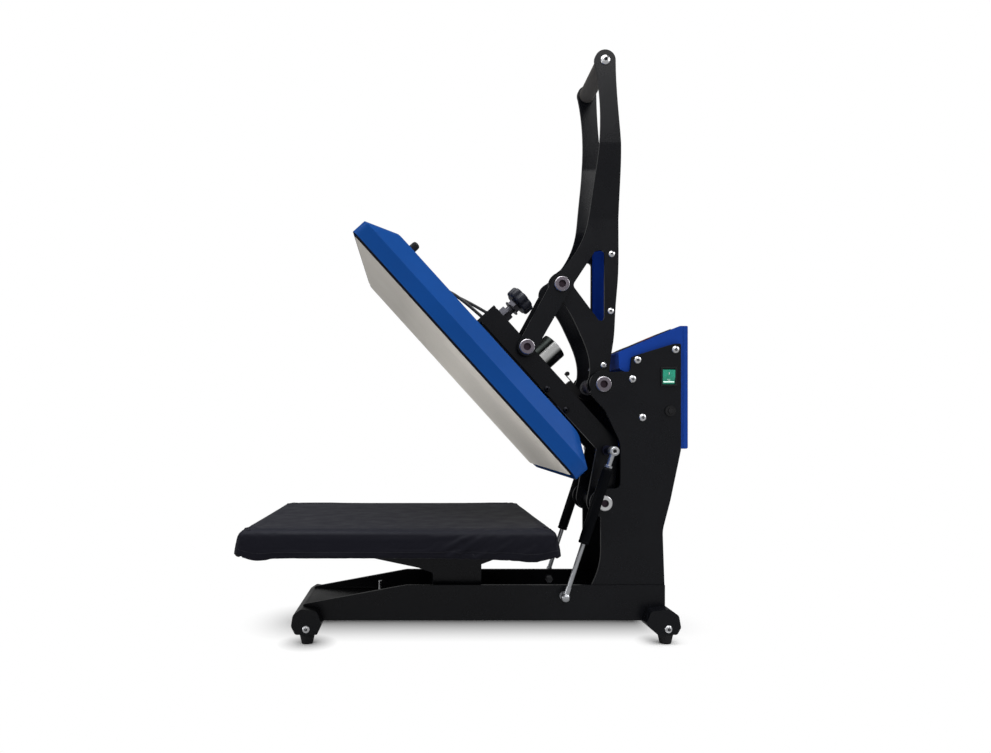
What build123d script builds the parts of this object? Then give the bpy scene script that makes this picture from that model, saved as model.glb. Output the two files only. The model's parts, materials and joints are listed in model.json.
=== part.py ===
from build123d import *
import math
import os

# Flat heat press, open as it stands at rest. Millimetres, degrees.
# X to the machine's right, Y to the rear, Z up; the origin is on the floor under the middle.

# Driving dimensions: platen and bed
PLATEN_WIDTH = 400.0
PLATEN_LENGTH = 500.0
PLATE_THICKNESS = 16.0
COVER_SIDE = 6.0
COVER_FRONT = 8.0
COVER_REAR = 14.0
COVER_FRONT_R = 14.0
COVER_REAR_R = 30.0
COVER_WALL = 2.0
SKIRT_LOW = 3.0
SKIRT_TOP = 27.5
COVER_TOP = 58.5
COVER_CHAMFER = 40.0
MOUNT_TOP = 66.0
PRESSURE_TRAVEL = 8.0

BED_FRONT = -374.0
BED_REAR = 126.5
BED_HALF_WIDTH = 212.0
BED_HEM = 168.0
BED_EDGE_TOP = 206.0
BED_CROWN_TOP = 210.5

# Driving dimensions: pivots in (y, z)
HANDLE_PIVOT = (229.1, 442.8)
ARM_PIVOT = (230.9, 236.9)
LINK_TOP = (159.4, 618.0)
LINK_FOOT = (98.6, 508.6)
SPRING_FOOT = (159.9, 78.2)
SPRING_HEAD = (241.6, 327.8)
OPEN_ANGLE = 47.85
ARM_PIVOT_T = 599.6
ARM_PIVOT_H = 25.5

# Sheet positions, measured from the mid-plane
COLUMN_OUT = 70.0
COLUMN_SHEET = 6.0
RAIL_LEDGE = 2.5
HANDLE_LOW_OUT = 52.0
HANDLE_HIGH_OUT = 69.0
HANDLE_SHEET = 6.0
LINK_IN = 53.0
LINK_SHEET = 6.0
ARM_OUT = 44.0
ARM_SHEET = 6.0
SPRING_X = 88.0
SPRING_FACE = 80.0

# Shafts and fits
PIVOT_R = 10.0
PIN_R = 8.0
RUNNING = 0.05
SPLIT_GAP = 0.4
PIN_CAP_R = 13.2
PIN_SOCKET_R = 6.6
BALL_R = 5.6
BALL_NECK_R = 3.8

# Base and column
RAIL_BOTTOM = 35.0
RAIL_TOP = 96.0
RAIL_FRONT = -290.0
RAIL_REAR = 334.8
FLOOR_TOP = 61.0
FOOT_WIDTH = 200.0
FOOT_TOP = 18.0
HOUSING_HALF = 63.6
HOUSING_WALL = 2.0
REAR_SEAM = (368.6, 369.8)
HOUSING_REAR = 377.5
SLOPE_LOW = (256.5, 499.0)
SLOPE_HIGH = (364.0, 544.5)

COLUMN_IN = COLUMN_OUT - COLUMN_SHEET
RAIL_OUT = COLUMN_OUT + RAIL_LEDGE
RAIL_IN = COLUMN_IN + RAIL_LEDGE
ARM_IN = ARM_OUT - ARM_SHEET
HANDLE_LOW_IN = HANDLE_LOW_OUT - HANDLE_SHEET
LINK_OUT = LINK_IN + LINK_SHEET
LINK_CAP_X = LINK_OUT + 0.5

# The platen's front lower edge, from the arm pivot and the opening angle
TILT = math.radians(OPEN_ANGLE)
ALONG = (math.cos(TILT), -math.sin(TILT))
ACROSS = (math.sin(TILT), math.cos(TILT))
PLATEN_FRONT = (
    ARM_PIVOT[0] - ARM_PIVOT_T * ALONG[0] - ARM_PIVOT_H * ACROSS[0],
    ARM_PIVOT[1] - ARM_PIVOT_T * ALONG[1] - ARM_PIVOT_H * ACROSS[1],
)
PLATEN_AT = Pos(0, *PLATEN_FRONT) * Rot(-OPEN_ANGLE, 0, 0)


def outline(corners):
    """A closed outline from (y, z, corner radius) entries."""
    points = [(y, z) for y, z, r in corners]
    radii = [r for y, z, r in corners]
    return make_face(FilletPolyline(*points, radius=radii, close=True))


def disc(centre, radius):
    return Pos(*centre) * Circle(radius)


def hull_of(*discs):
    edges = [e for d in discs for e in d.edges()]
    return make_hull(edges)


def slab(face, x0, x1):
    """A side-view face, drawn in (y, z), extruded from x0 to x1."""
    return extrude(Plane.YZ.offset(x0) * face, amount=x1 - x0)


def bar_x(centre, radius, x0, x1):
    return slab(disc(centre, radius), x0, x1)


def tube_x(centre, outer, inner, x0, x1):
    return slab(disc(centre, outer) - disc(centre, inner), x0, x1)


def block(x0, x1, y0, y1, z0, z1):
    size = (x1 - x0, y1 - y0, z1 - z0)
    return Pos((x0 + x1) / 2, (y0 + y1) / 2, (z0 + z1) / 2) * Box(*size)


def post(x, y, radius, z0, z1):
    return Pos(x, y, (z0 + z1) / 2) * Cylinder(radius, z1 - z0)


def both(piece):
    """The piece and its mirror image across the mid-plane."""
    return [piece, mirror(piece, about=Plane.YZ)]


def button_head(centre, x_face, radius, height, hex_across):
    """A socket button head that stands out along +X from x_face."""
    plane = Plane.YZ.offset(x_face)
    head = loft([plane * disc(centre, radius), plane.offset(height) * disc(centre, radius * 0.55)])
    socket = plane.offset(height * 0.35) * (Pos(*centre) * RegularPolygon(hex_across / 2, 6))
    return head - extrude(socket, amount=height)


def save(name, pieces):
    solids = [s for piece in pieces for s in piece.solids()]
    group = solids[0] if len(solids) == 1 else Compound(children=solids)
    group.label = name
    export_step(group, f"parts/{name}.step")


# Base

RAIL_NOSE_TOP = 63.0
RAIL_SLOPE_END = -112.0
FOOT_BAR_WALL = 3.0
FOOT_CAP = 3.0
PAD_TOP_R = 13.5
PAD_BOTTOM_R = 9.5
PAD_X = 84.0
FOOT_Y = {"front": -280.5, "rear": 331.0}
FOOT_BOLT_Z = 27.5
FLOOR_STUD_Y = -160.0
FOOT_OUTLINES = {
    "front": [(-299.0, 18.0, 5), (-306.0, 32.0, 9), (-303.0, 52.0, 12), (-289.0, 61.0, 6), (-262.0, 57.0, 8),
              (-254.5, 35.0, 4), (-262.0, 18.0, 3)],
    "rear": [(294.0, 35.0, 5), (313.0, 18.0, 5), (346.0, 18.0, 5), (352.5, 30.0, 6), (349.0, 50.0, 8),
             (334.0, 61.0, 5), (302.0, 57.0, 6)],
}


def foot_bar(end):
    """A folded cross bar under both rails, closed by an end cap on each side."""
    profile = outline(FOOT_OUTLINES[end])
    half = FOOT_WIDTH / 2
    bar = slab(profile, -half, half)
    bar -= slab(offset(profile, -FOOT_BAR_WALL, kind=Kind.INTERSECTION), -half + FOOT_CAP, half - FOOT_CAP)
    for x in (-PAD_X, PAD_X):
        bar -= post(x, FOOT_Y[end], 4.2, FOOT_TOP - 1, FOOT_TOP + FOOT_BAR_WALL + 1)
    for hole in both(bar_x((FOOT_Y[end], FOOT_BOLT_Z), 3.2, half - FOOT_CAP - 1, half + 1)):
        bar -= hole
    return bar


def rubber_feet():
    feet = []
    for y in FOOT_Y.values():
        for x in (-PAD_X, PAD_X):
            base = Pos(x, y, 0)
            foot = loft([base * Circle(PAD_BOTTOM_R), base * Pos(0, 0, FOOT_TOP) * Circle(PAD_TOP_R)])
            feet.append(foot - post(x, y, 6.5, -1, 6) - post(x, y, 4.1, 5, FOOT_TOP + 1))
    return feet


def foot_screws():
    """The screw in each rubber foot with its nut, and the side bolt in each end cap."""
    screws = []
    half = FOOT_WIDTH / 2
    for y in FOOT_Y.values():
        for x in (-PAD_X, PAD_X):
            screws.append(post(x, y, 6.4, 2, 6) + post(x, y, 3.9, 6, FOOT_TOP + 8))
            nut = extrude(Pos(x, y, FOOT_TOP + FOOT_BAR_WALL) * RegularPolygon(7.0, 6), amount=5.0)
            screws[-1] += nut
        head = button_head((y, FOOT_BOLT_Z), half, 6.6, 3.6, 5.0)
        screws += both(head + bar_x((y, FOOT_BOLT_Z), 3.2, half - 10, half))
    return screws


def rail(feet_cut):
    profile = outline([
        (RAIL_FRONT, RAIL_BOTTOM, 0),
        (RAIL_REAR, RAIL_BOTTOM, 0),
        (RAIL_REAR, RAIL_TOP, 0),
        (RAIL_SLOPE_END, RAIL_TOP, 40),
        (RAIL_FRONT, RAIL_NOSE_TOP, 4),
    ])
    web = slab(profile, RAIL_IN, RAIL_OUT)
    web -= bar_x(SPRING_FOOT, 4.5, RAIL_IN - 1, RAIL_OUT + 1)
    for cut in feet_cut:
        web -= cut
    return web


def floor_plate():
    plate = block(-RAIL_IN, RAIL_IN, -284.0, 322.0, FLOOR_TOP - 4, FLOOR_TOP)
    for corners in FOOT_OUTLINES.values():
        plate -= slab(outline(corners), -120.0, 120.0)
    return plate - post(0, FLOOR_STUD_Y, 3.2, FLOOR_TOP - 5, FLOOR_TOP + 1)


def floor_stud():
    """The stud and nut that stand on the floor plate."""
    nut = extrude(Pos(0, FLOOR_STUD_Y, FLOOR_TOP) * RegularPolygon(6.0, 6), amount=5.5)
    return nut + post(0, FLOOR_STUD_Y, 3.2, FLOOR_TOP - 4, FLOOR_TOP + 28)


# Column

COLUMN_SCREWS = [(288.1, 484.5), (353.8, 502.5), (279.5, 451.7), (296.8, 385.1)]
ROCKER_AT = (342.0, 456.0)
BREAKER_AT = (344.3, 396.4)
ROCKER_BODY = (24.6, 29.6)
ROCKER_BEZEL = (28.0, 33.0)
ROCKER_KEY = (21.4, 24.8)
BREAKER_BUSH_R = 6.0
ROCKER_AXIS_X = COLUMN_OUT - 5.0
ROCKER_HALF_SWING = 8.0
ROCKER_PIN_R = 1.6
ROCKER_PIN_Y = 11.6


def column_profile():
    face = outline([
        (209.5, RAIL_TOP, 0),
        (225.0, 130.0, 120),
        (225.0, 262.0, 0),
        (258.7, 262.0, 10),
        (258.7, 341.0, 40),
        (231.0, 400.0, 30),
        (206.0, 428.0, 0),
        (HANDLE_PIVOT[0], HANDLE_PIVOT[1] + 21.0, 0),
        (275.5, 464.5, 5),
        (278.0, 490.5, 6),
        (350.0, 512.5, 3),
        (363.3, 513.0, 3),
        (363.3, 329.0, 30),
        (345.2, 242.5, 60),
        (331.6, 190.0, 60),
        (334.8, RAIL_TOP, 0),
    ])
    return face + disc(HANDLE_PIVOT, 23.5) + disc(ARM_PIVOT, 25.0)


def column_plate(switch_side):
    plate = slab(column_profile(), COLUMN_IN, COLUMN_OUT)
    for centre in (HANDLE_PIVOT, ARM_PIVOT):
        plate -= bar_x(centre, PIVOT_R, COLUMN_IN - 1, COLUMN_OUT + 1)
    for centre in COLUMN_SCREWS:
        plate -= bar_x(centre, 3.2, COLUMN_IN - 1, COLUMN_OUT + 1)
    if switch_side:
        window = Pos(*ROCKER_AT) * Rectangle(*ROCKER_BODY)
        plate -= slab(window, COLUMN_IN - 1, COLUMN_OUT + 1)
        plate -= bar_x(BREAKER_AT, BREAKER_BUSH_R, COLUMN_IN - 1, COLUMN_OUT + 1)
    return plate


def column_back():
    """The folded sheet between the column plates: back, shelf under the arm and lower front."""
    upright = block(-COLUMN_IN, COLUMN_IN, 318.0, 322.0, FLOOR_TOP, 326.0)
    shelf = block(-COLUMN_IN, COLUMN_IN, 258.0, 318.0, 150.0, 154.0)
    front = block(-COLUMN_IN, COLUMN_IN, 258.0, 262.0, FLOOR_TOP, 154.0)
    return upright + shelf + front


def column_screws():
    heads = [button_head(c, COLUMN_OUT, 6.5, 3.4, 5.0) for c in COLUMN_SCREWS]
    shanks = [bar_x(c, 3.0, 58.0, COLUMN_OUT) for c in COLUMN_SCREWS]
    return [s for h, k in zip(heads, shanks) for s in both(h + k)]


PIN_CAP = 5.0


def pin_end(centre, x_face):
    """The round cap on a pin's end, with its hexagon socket."""
    cap = bar_x(centre, PIN_CAP_R, x_face, x_face + PIN_CAP)
    cap = chamfer(cap.edges().filter_by(GeomType.CIRCLE).sort_by(Axis.X)[-1], 1.3)
    socket = Pos(*centre) * RegularPolygon(PIN_SOCKET_R, 6)
    return cap - slab(socket, x_face + 1.2, x_face + PIN_CAP + 1)


def pivot_shaft(centre):
    """A shaft across both column plates, with its two end caps."""
    shaft = bar_x(centre, PIVOT_R, -COLUMN_OUT, COLUMN_OUT)
    return [shaft] + both(pin_end(centre, COLUMN_OUT))


def lower_ball_studs():
    neck = bar_x(SPRING_FOOT, BALL_NECK_R, RAIL_IN - 6, SPRING_X)
    collar = bar_x(SPRING_FOOT, 7.5, RAIL_OUT, RAIL_OUT + 3.0)
    nut = slab(Pos(*SPRING_FOOT) * RegularPolygon(7.5, 6), RAIL_IN - 6, RAIL_IN)
    ball = Pos(SPRING_X, *SPRING_FOOT) * Sphere(BALL_R)
    return both(neck + collar + nut + ball)


# Control housing

PANEL_LIFT = 1.5


def slope_plane():
    """The sloped top, with local x across the machine and local y up the slope."""
    dy = SLOPE_HIGH[0] - SLOPE_LOW[0]
    dz = SLOPE_HIGH[1] - SLOPE_LOW[1]
    middle = ((SLOPE_HIGH[0] + SLOPE_LOW[0]) / 2, (SLOPE_HIGH[1] + SLOPE_LOW[1]) / 2)
    run = math.hypot(dy, dz)
    return Plane(origin=(0, *middle), x_dir=(1, 0, 0), z_dir=(0, -dz / run, dy / run)), run


def housing_profile():
    return outline([
        (292.0, 331.0, 3),
        (HOUSING_REAR, 331.0, 3),
        (HOUSING_REAR, SLOPE_HIGH[1], 2),
        (*SLOPE_HIGH, 0),
        (*SLOPE_LOW, 3),
        (258.5, 470.0, 3),
        (273.0, 462.0, 6),
        (292.0, 400.0, 10),
    ])


def control_housing():
    shell = slab(housing_profile(), -HOUSING_HALF, HOUSING_HALF)
    inner = slab(offset(housing_profile(), -HOUSING_WALL, kind=Kind.INTERSECTION),
                 -HOUSING_HALF + HOUSING_WALL, HOUSING_HALF - HOUSING_WALL)
    shell -= inner
    inlet = block(-13.6, 13.6, HOUSING_REAR - 4, HOUSING_REAR + 4, 350.0, 370.2)
    shell -= inlet
    y, z = ROCKER_AT
    half_y = ROCKER_BODY[0] / 2 + 0.6
    half_z = ROCKER_BODY[1] / 2 + 0.6
    shell -= block(31.0, COLUMN_OUT, y - half_y, y + half_y, z - half_z, z + half_z)
    shell -= bar_x(BREAKER_AT, 9.4, HOUSING_HALF - 4, HOUSING_HALF + 4)
    for seam in both(block(HOUSING_HALF - 0.6, HOUSING_HALF + 1, *REAR_SEAM, 330.0, 546.0)):
        shell -= seam
    for centre in COLUMN_SCREWS:
        for hole in both(bar_x(centre, 3.1, HOUSING_HALF - 7, HOUSING_HALF + 4)):
            shell -= hole
    return shell


def control_fascia():
    """The membrane panel with four domed key areas and a display window."""
    plane, run = slope_plane()
    face = RectangleRounded(104.0, run - 22.0, 5)
    window = Pos(0, 18) * Rectangle(62.0, 30.0)
    fascia = extrude(plane * (face - window), amount=PANEL_LIFT)
    for i in range(4):
        key = plane * (Pos(-36.0 + 24.0 * i, -24.0) * RectangleRounded(18.0, 14.0, 4))
        fascia += extrude(key, amount=PANEL_LIFT + 0.5)
    return fascia


def display_window():
    plane, run = slope_plane()
    return extrude(plane * (Pos(0, 18) * Rectangle(61.8, 29.8)), amount=PANEL_LIFT - 0.3)


def control_board():
    plane, run = slope_plane()
    deep = plane.offset(-16.0)
    board = extrude(deep * Rectangle(96.0, run - 34.0), amount=-1.6)
    display = extrude(deep * (Pos(0, 12) * Rectangle(60.0, 26.0)), amount=8.0)
    return board + display


def power_inlet():
    flange = slab(outline([(HOUSING_REAR, 342.0, 0), (HOUSING_REAR + 1.5, 342.0, 0),
                           (HOUSING_REAR + 1.5, 378.2, 0), (HOUSING_REAR, 378.2, 0)]), -24.0, 24.0)
    body = block(-13.4, 13.4, HOUSING_REAR - 22, HOUSING_REAR, 350.2, 370.0)
    well = block(-12.0, 12.0, HOUSING_REAR - 16, HOUSING_REAR + 3, 352.0, 368.2)
    inlet = flange + body - well
    for x, z in ((-7.0, 358.4), (0.0, 362.4), (7.0, 358.4)):
        inlet += block(x - 1.0, x + 1.0, HOUSING_REAR - 17, HOUSING_REAR - 6, z - 2.0, z + 2.0)
    return inlet


def rocker_frame():
    y, z = ROCKER_AT
    x = COLUMN_OUT
    bezel = slab(Pos(y, z) * RectangleRounded(*ROCKER_BEZEL, 1.5), x, x + 2.0)
    body = slab(Pos(y, z) * Rectangle(ROCKER_BODY[0] - 0.2, ROCKER_BODY[1] - 0.2), x - 28.0, x)
    mouth = slab(Pos(y, z) * Rectangle(ROCKER_KEY[0] + 0.6, ROCKER_KEY[1] + 2.6), x - 13.0, x + 3.0)
    hole = Cylinder(ROCKER_PIN_R + RUNNING, 2 * ROCKER_PIN_Y + 0.2)
    pivot_hole = Pos(ROCKER_AXIS_X, y, z) * Rot(90, 0, 0) * hole
    frame = bezel + body - mouth - pivot_hole
    for z_off in (-8.0, 0.0, 8.0):
        frame += block(x - 36.0, x - 28.0, y - 3.0, y + 3.0, z + z_off - 0.4, z + z_off + 0.4)
    return frame


def rocker():
    """A two-faced key that tilts about its two pivot pins, resting with its lower half in."""
    y, z = ROCKER_AT
    wide, tall = ROCKER_KEY
    end = tall / 2
    profile = Polygon((-5.5, -end), (5.6, -end), (7.4, 0), (5.6, end), (-5.5, end), align=None)
    key = extrude(Plane.XZ.offset(-wide / 2) * profile, amount=wide)
    key += Rot(90, 0, 0) * Cylinder(ROCKER_PIN_R, 2 * ROCKER_PIN_Y)
    return Pos(ROCKER_AXIS_X, y, z) * Rot(0, ROCKER_HALF_SWING, 0) * key


def breaker_bush():
    x = COLUMN_OUT
    ring = tube_x(BREAKER_AT, 9.0, BREAKER_BUSH_R, x, x + 3.0)
    barrel = tube_x(BREAKER_AT, BREAKER_BUSH_R - 0.05, 4.3, x - 16.0, x + 3.0)
    back = tube_x(BREAKER_AT, 9.2, BREAKER_BUSH_R - 0.5, x - 24.0, x - 8.0)
    return ring + barrel + back


def breaker_button():
    x = COLUMN_OUT
    return bar_x(BREAKER_AT, 4.2, x - 12.0, x + 4.5)


# Bed

PEDESTAL = (-65.0, 20.0)
BRACKET_TOP = 166.0
BED_PLATE_TOP = 176.0


def bed_pedestal():
    outer = block(-52.0, 52.0, PEDESTAL[0], PEDESTAL[1], FLOOR_TOP, BRACKET_TOP - 6)
    inner = block(-47.0, 47.0, PEDESTAL[0] + 5, PEDESTAL[1] - 5, FLOOR_TOP - 1, BRACKET_TOP)
    return outer - inner


def bed_bracket():
    rib_face = outline([
        (PEDESTAL[0], BRACKET_TOP - 6, 0),
        (PEDESTAL[0], 113.0, 0),
        (-91.0, 122.0, 12),
        (-186.0, 142.0, 4),
        (-186.0, BRACKET_TOP - 6, 0),
    ])
    rear_face = outline([
        (PEDESTAL[1], BRACKET_TOP - 6, 0),
        (PEDESTAL[1], 128.0, 0),
        (78.0, 150.0, 4),
        (78.0, BRACKET_TOP - 6, 0),
    ])
    flange = block(-95.0, 95.0, -186.0, 78.0, BRACKET_TOP - 6, BRACKET_TOP)
    ribs = both(slab(rib_face, 46.0, 52.0)) + both(slab(rear_face, 46.0, 52.0))
    bracket = flange
    for rib in ribs:
        bracket += rib
    for x in (-80.0, 80.0):
        for y in (-165.0, 57.0):
            bracket -= post(x, y, 4.2, BRACKET_TOP - 8, BRACKET_TOP + 1)
    return bracket


def bed_bolts():
    bolts = []
    for x in (-80.0, 80.0):
        for y in (-165.0, 57.0):
            head = extrude(Pos(x, y, BRACKET_TOP - 11.5) * RegularPolygon(7.5, 6), amount=5.5)
            bolts.append(head + post(x, y, 4.0, BRACKET_TOP - 7, BED_PLATE_TOP - 3))
    return bolts


def bed_plate():
    inset = PAD_INSET + 2
    plate = block(inset - BED_HALF_WIDTH, BED_HALF_WIDTH - inset, BED_FRONT + inset, BED_REAR - inset,
                  BRACKET_TOP, BED_PLATE_TOP)
    plate = fillet(plate.edges().filter_by(Axis.Z), 10.0)
    for x in (-80.0, 80.0):
        for y in (-165.0, 57.0):
            plate -= post(x, y, 4.0, BRACKET_TOP - 1, BED_PLATE_TOP - 3)
    return plate


PAD_INSET = 6.4


def bed_section(z, inset, corner, bow):
    """A pad outline at height z: straight-ish sides bowed out by bow, with round corners."""
    y0 = BED_FRONT + inset
    y1 = BED_REAR - inset
    x = BED_HALF_WIDTH - inset
    c = corner
    pieces = [
        Line((-x + c, y0), (x - c, y0)),
        ThreePointArc((x - c, y0), (x - 0.293 * c, y0 + 0.293 * c), (x, y0 + c)),
        ThreePointArc((x, y0 + c), (x + bow, (y0 + y1) / 2), (x, y1 - c)),
        ThreePointArc((x, y1 - c), (x - 0.293 * c, y1 - 0.293 * c), (x - c, y1)),
        Line((x - c, y1), (-x + c, y1)),
        ThreePointArc((-x + c, y1), (-x + 0.293 * c, y1 - 0.293 * c), (-x, y1 - c)),
        ThreePointArc((-x, y1 - c), (-x - bow, (y0 + y1) / 2), (-x, y0 + c)),
        ThreePointArc((-x, y0 + c), (-x + 0.293 * c, y0 + 0.293 * c), (-x + c, y0)),
    ]
    return Pos(0, 0, z) * make_face(pieces)


def bed_filling(gap, low):
    """The space of the silicone pad with its softened upper edge, grown by gap."""
    upright = extrude(bed_section(low, PAD_INSET - gap, 12.0, 0.5), amount=BED_PLATE_TOP + 22.0 + gap - low)
    shoulder = [
        bed_section(BED_PLATE_TOP + 22.0 + gap, PAD_INSET - gap, 12.0, 0.5),
        bed_section(BED_CROWN_TOP - 7.0 + gap, PAD_INSET + 7.0 - gap, 14.0, 0.5),
    ]
    return upright + loft(shoulder)


def bed_pad():
    return bed_filling(0, BED_PLATE_TOP)


COVER_LEVELS = [
    (BED_HEM, 1.2, 9.0),
    (BED_HEM + 9.0, 0.0, 9.0),
    (BED_HEM + 20.0, 0.6, 9.0),
    (BED_EDGE_TOP - 9.0, 1.8, 10.0),
    (BED_EDGE_TOP - 2.8, 3.8, 12.0),
    (BED_EDGE_TOP, 7.5, 15.0),
    (BED_EDGE_TOP + 2.4, 34.0, 28.0),
    (BED_CROWN_TOP, 96.0, 40.0),
]


def bed_cover():
    """The cloth-covered pad: drawn in at its hem, full at its waist and crowned on top."""
    levels = [bed_section(z, inset, corner, 1.0) for z, inset, corner in COVER_LEVELS]
    form = None
    for low, high in zip(levels, levels[1:]):
        span = loft([low, high], ruled=True)
        form = span if form is None else form + span
    return form - bed_filling(0.3, BED_HEM - 1)


# Handle

HANDLE_TOP = (232.5, 1003.9)
HANDLE_TOP_R = 18.2
GRIP_R = 14.5
JOGGLE = (734.0, 860.0)
BRACE_Z = (553.0, 702.0)
BRACE_FACE_Y = 238.5
BRACE_SCREWS = [(248.2, 672.0), (246.5, 572.0)]
BUSH_SCREW = (234.2, 476.9)


def handle_profile():
    front = Spline((214.4, 1003.0), (222.6, 952.0), (224.9, 891.0), (221.6, 840.0), (213.3, 774.0),
                   (201.2, 707.0), (181.4, 669.5), (150.0, 637.8))
    lug = Line((150.0, 637.8), (145.6, 601.0))
    inner = Spline((145.6, 601.0), (174.8, 571.0), (188.9, 543.0), (199.3, 520.0), (210.7, 471.0),
                   (209.0, 456.0))
    foot = Line((209.0, 456.0), (244.5, 462.0))
    rear = Spline((244.5, 462.0), (247.2, 493.0), (251.6, 521.0), (255.1, 577.0), (259.2, 627.0),
                  (260.4, 697.0), (260.4, 765.0), (260.3, 856.0), (256.9, 900.0), (250.7, 1003.0))
    crown = Line((250.7, 1003.0), (214.4, 1003.0))
    face = make_face([front, lug, inner, foot, rear, crown])
    face += disc(HANDLE_TOP, HANDLE_TOP_R)
    face += disc(LINK_TOP, 22.0)
    face += disc(HANDLE_PIVOT, 23.5)
    window = outline([
        (180.0, 617.5, 9), (219.0, 677.0, 5), (236.5, 681.0, 7), (236.0, 560.0, 8), (229.5, 551.0, 6)])
    return face - window


def joggle_strip():
    """The bent sheet that a handle plate is cut from, seen from the front."""
    t = HANDLE_SHEET
    low, high = HANDLE_LOW_OUT, HANDLE_HIGH_OUT
    z0, z1 = JOGGLE
    corners = [
        (low - t, 380.0, 0), (low, 380.0, 0), (low, z0, 30), (high, z1, 30), (high, 1060.0, 0),
        (high - t, 1060.0, 0), (high - t, z1, 24), (low - t, z0, 36),
    ]
    strip = outline(corners)
    return extrude(Plane.XZ.offset(-320.0) * strip, amount=320.0)


def handle_plate():
    plate = joggle_strip() & slab(handle_profile(), 40.0, 75.0)
    plate -= bar_x(HANDLE_PIVOT, 14.0, 40.0, 75.0)
    plate -= bar_x(LINK_TOP, PIN_R, 40.0, 75.0)
    plate -= bar_x(HANDLE_TOP, 4.2, 40.0, 75.0)
    for centre in BRACE_SCREWS + [BUSH_SCREW]:
        plate -= bar_x(centre, 3.1, 40.0, 75.0)
    return plate


def handle_bushes():
    sleeve = tube_x(HANDLE_PIVOT, 14.0, PIVOT_R + RUNNING, HANDLE_LOW_IN - 1.5, COLUMN_IN - 0.6)
    return both(sleeve)


def grip_core():
    half = HANDLE_HIGH_OUT - HANDLE_SHEET
    return bar_x(HANDLE_TOP, 9.0, -half, half) - both(bar_x(HANDLE_TOP, 4.0, half - 25.0, half + 1))


def grip_sleeve():
    half = HANDLE_HIGH_OUT - HANDLE_SHEET - 0.5
    return tube_x(HANDLE_TOP, GRIP_R, 9.0, -half, half)


def grip_screws():
    head = button_head(HANDLE_TOP, HANDLE_HIGH_OUT, 8.6, 4.6, 6.0)
    shank = bar_x(HANDLE_TOP, 4.0, HANDLE_HIGH_OUT - 28.0, HANDLE_HIGH_OUT)
    return both(head + shank)


def handle_brace():
    """The folded brace between the handle plates: a front web with a flange along each plate."""
    half = HANDLE_LOW_IN
    web = block(-half, half, BRACE_FACE_Y, BRACE_FACE_Y + 3, *BRACE_Z)
    flange = block(half - 3, half, BRACE_FACE_Y, 254.0, *BRACE_Z)
    brace = web
    for side in both(flange):
        brace += side
    for centre in BRACE_SCREWS:
        for hole in both(bar_x(centre, 3.0, half - 10, half + 1)):
            brace -= hole
    return brace


def brace_screws():
    screws = []
    for centre, depth in [(c, HANDLE_SHEET + 5) for c in BRACE_SCREWS] + [(BUSH_SCREW, HANDLE_SHEET)]:
        head = button_head(centre, HANDLE_LOW_OUT, 5.8, 3.0, 4.0)
        screws += both(head + bar_x(centre, 3.0, HANDLE_LOW_OUT - depth, HANDLE_LOW_OUT))
    return screws


def link_shaft():
    """The shaft through both handle plates that the links hang on, with its end caps."""
    shaft = bar_x(LINK_TOP, PIN_R, -LINK_CAP_X, LINK_CAP_X)
    for end in both(pin_end(LINK_TOP, LINK_CAP_X)):
        shaft += end
    return shaft


# Links

LINK_HALF_WIDTH = 16.0


def link_plate():
    face = hull_of(disc(LINK_TOP, LINK_HALF_WIDTH + 1.5), disc(LINK_FOOT, LINK_HALF_WIDTH))
    plate = slab(face, LINK_IN, LINK_OUT)
    plate -= bar_x(LINK_TOP, PIN_R + RUNNING, LINK_IN - 1, LINK_OUT + 1)
    plate -= bar_x(LINK_FOOT, PIN_R, LINK_IN - 1, LINK_OUT + 1)
    return plate


def link_pins():
    """The outer part of the lower link pin. The inner part stays with the arm."""
    stub = bar_x(LINK_FOOT, PIN_R, ARM_OUT + SPLIT_GAP, LINK_OUT)
    spacer = tube_x(LINK_FOOT, PIN_R + 4, PIN_R - 1, ARM_OUT + SPLIT_GAP, LINK_IN)
    return both(stub + spacer + pin_end(LINK_FOOT, LINK_OUT))


# Arm, in the platen's own frame: x across, t along the platen from its front, h up from its face


def to_platen(point):
    """(y, z) of the stand's frame as (t, h)."""
    dy = point[0] - PLATEN_FRONT[0]
    dz = point[1] - PLATEN_FRONT[1]
    return (dy * ALONG[0] + dz * ALONG[1], dy * ACROSS[0] + dz * ACROSS[1])


ARM_FRONT_T = 222.0
ARM_UNDER = 83.0
ARM_TOP = 119.0
ARM_LOBE_R = 24.0
ARM_KNEE = (535.0, 101.0)
SPINDLE_T = 240.0
GUIDE_T = 274.0
GUIDE_X = 20.0
LEAD_X = (-14.0, 14.0)
LEAD_END_T = 232.0
MAGNET_T = 343.0
MAGNET_R = 25.0
MAGNET_TOP = 160.0
PIVOT_TH = (ARM_PIVOT_T, ARM_PIVOT_H)
FOOT_TH = to_platen(LINK_FOOT)
HEAD_TH = to_platen(SPRING_HEAD)
ARM_BOLTS = [(389.0, 89.0), (439.0, 89.0)]
BRIDGE = (222.0, 442.0)
SWITCH = (409.0, 439.0)
SWITCH_TOP = ARM_TOP + 18.0
BRIDGE_UNDER = ARM_TOP - 8.0


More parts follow.
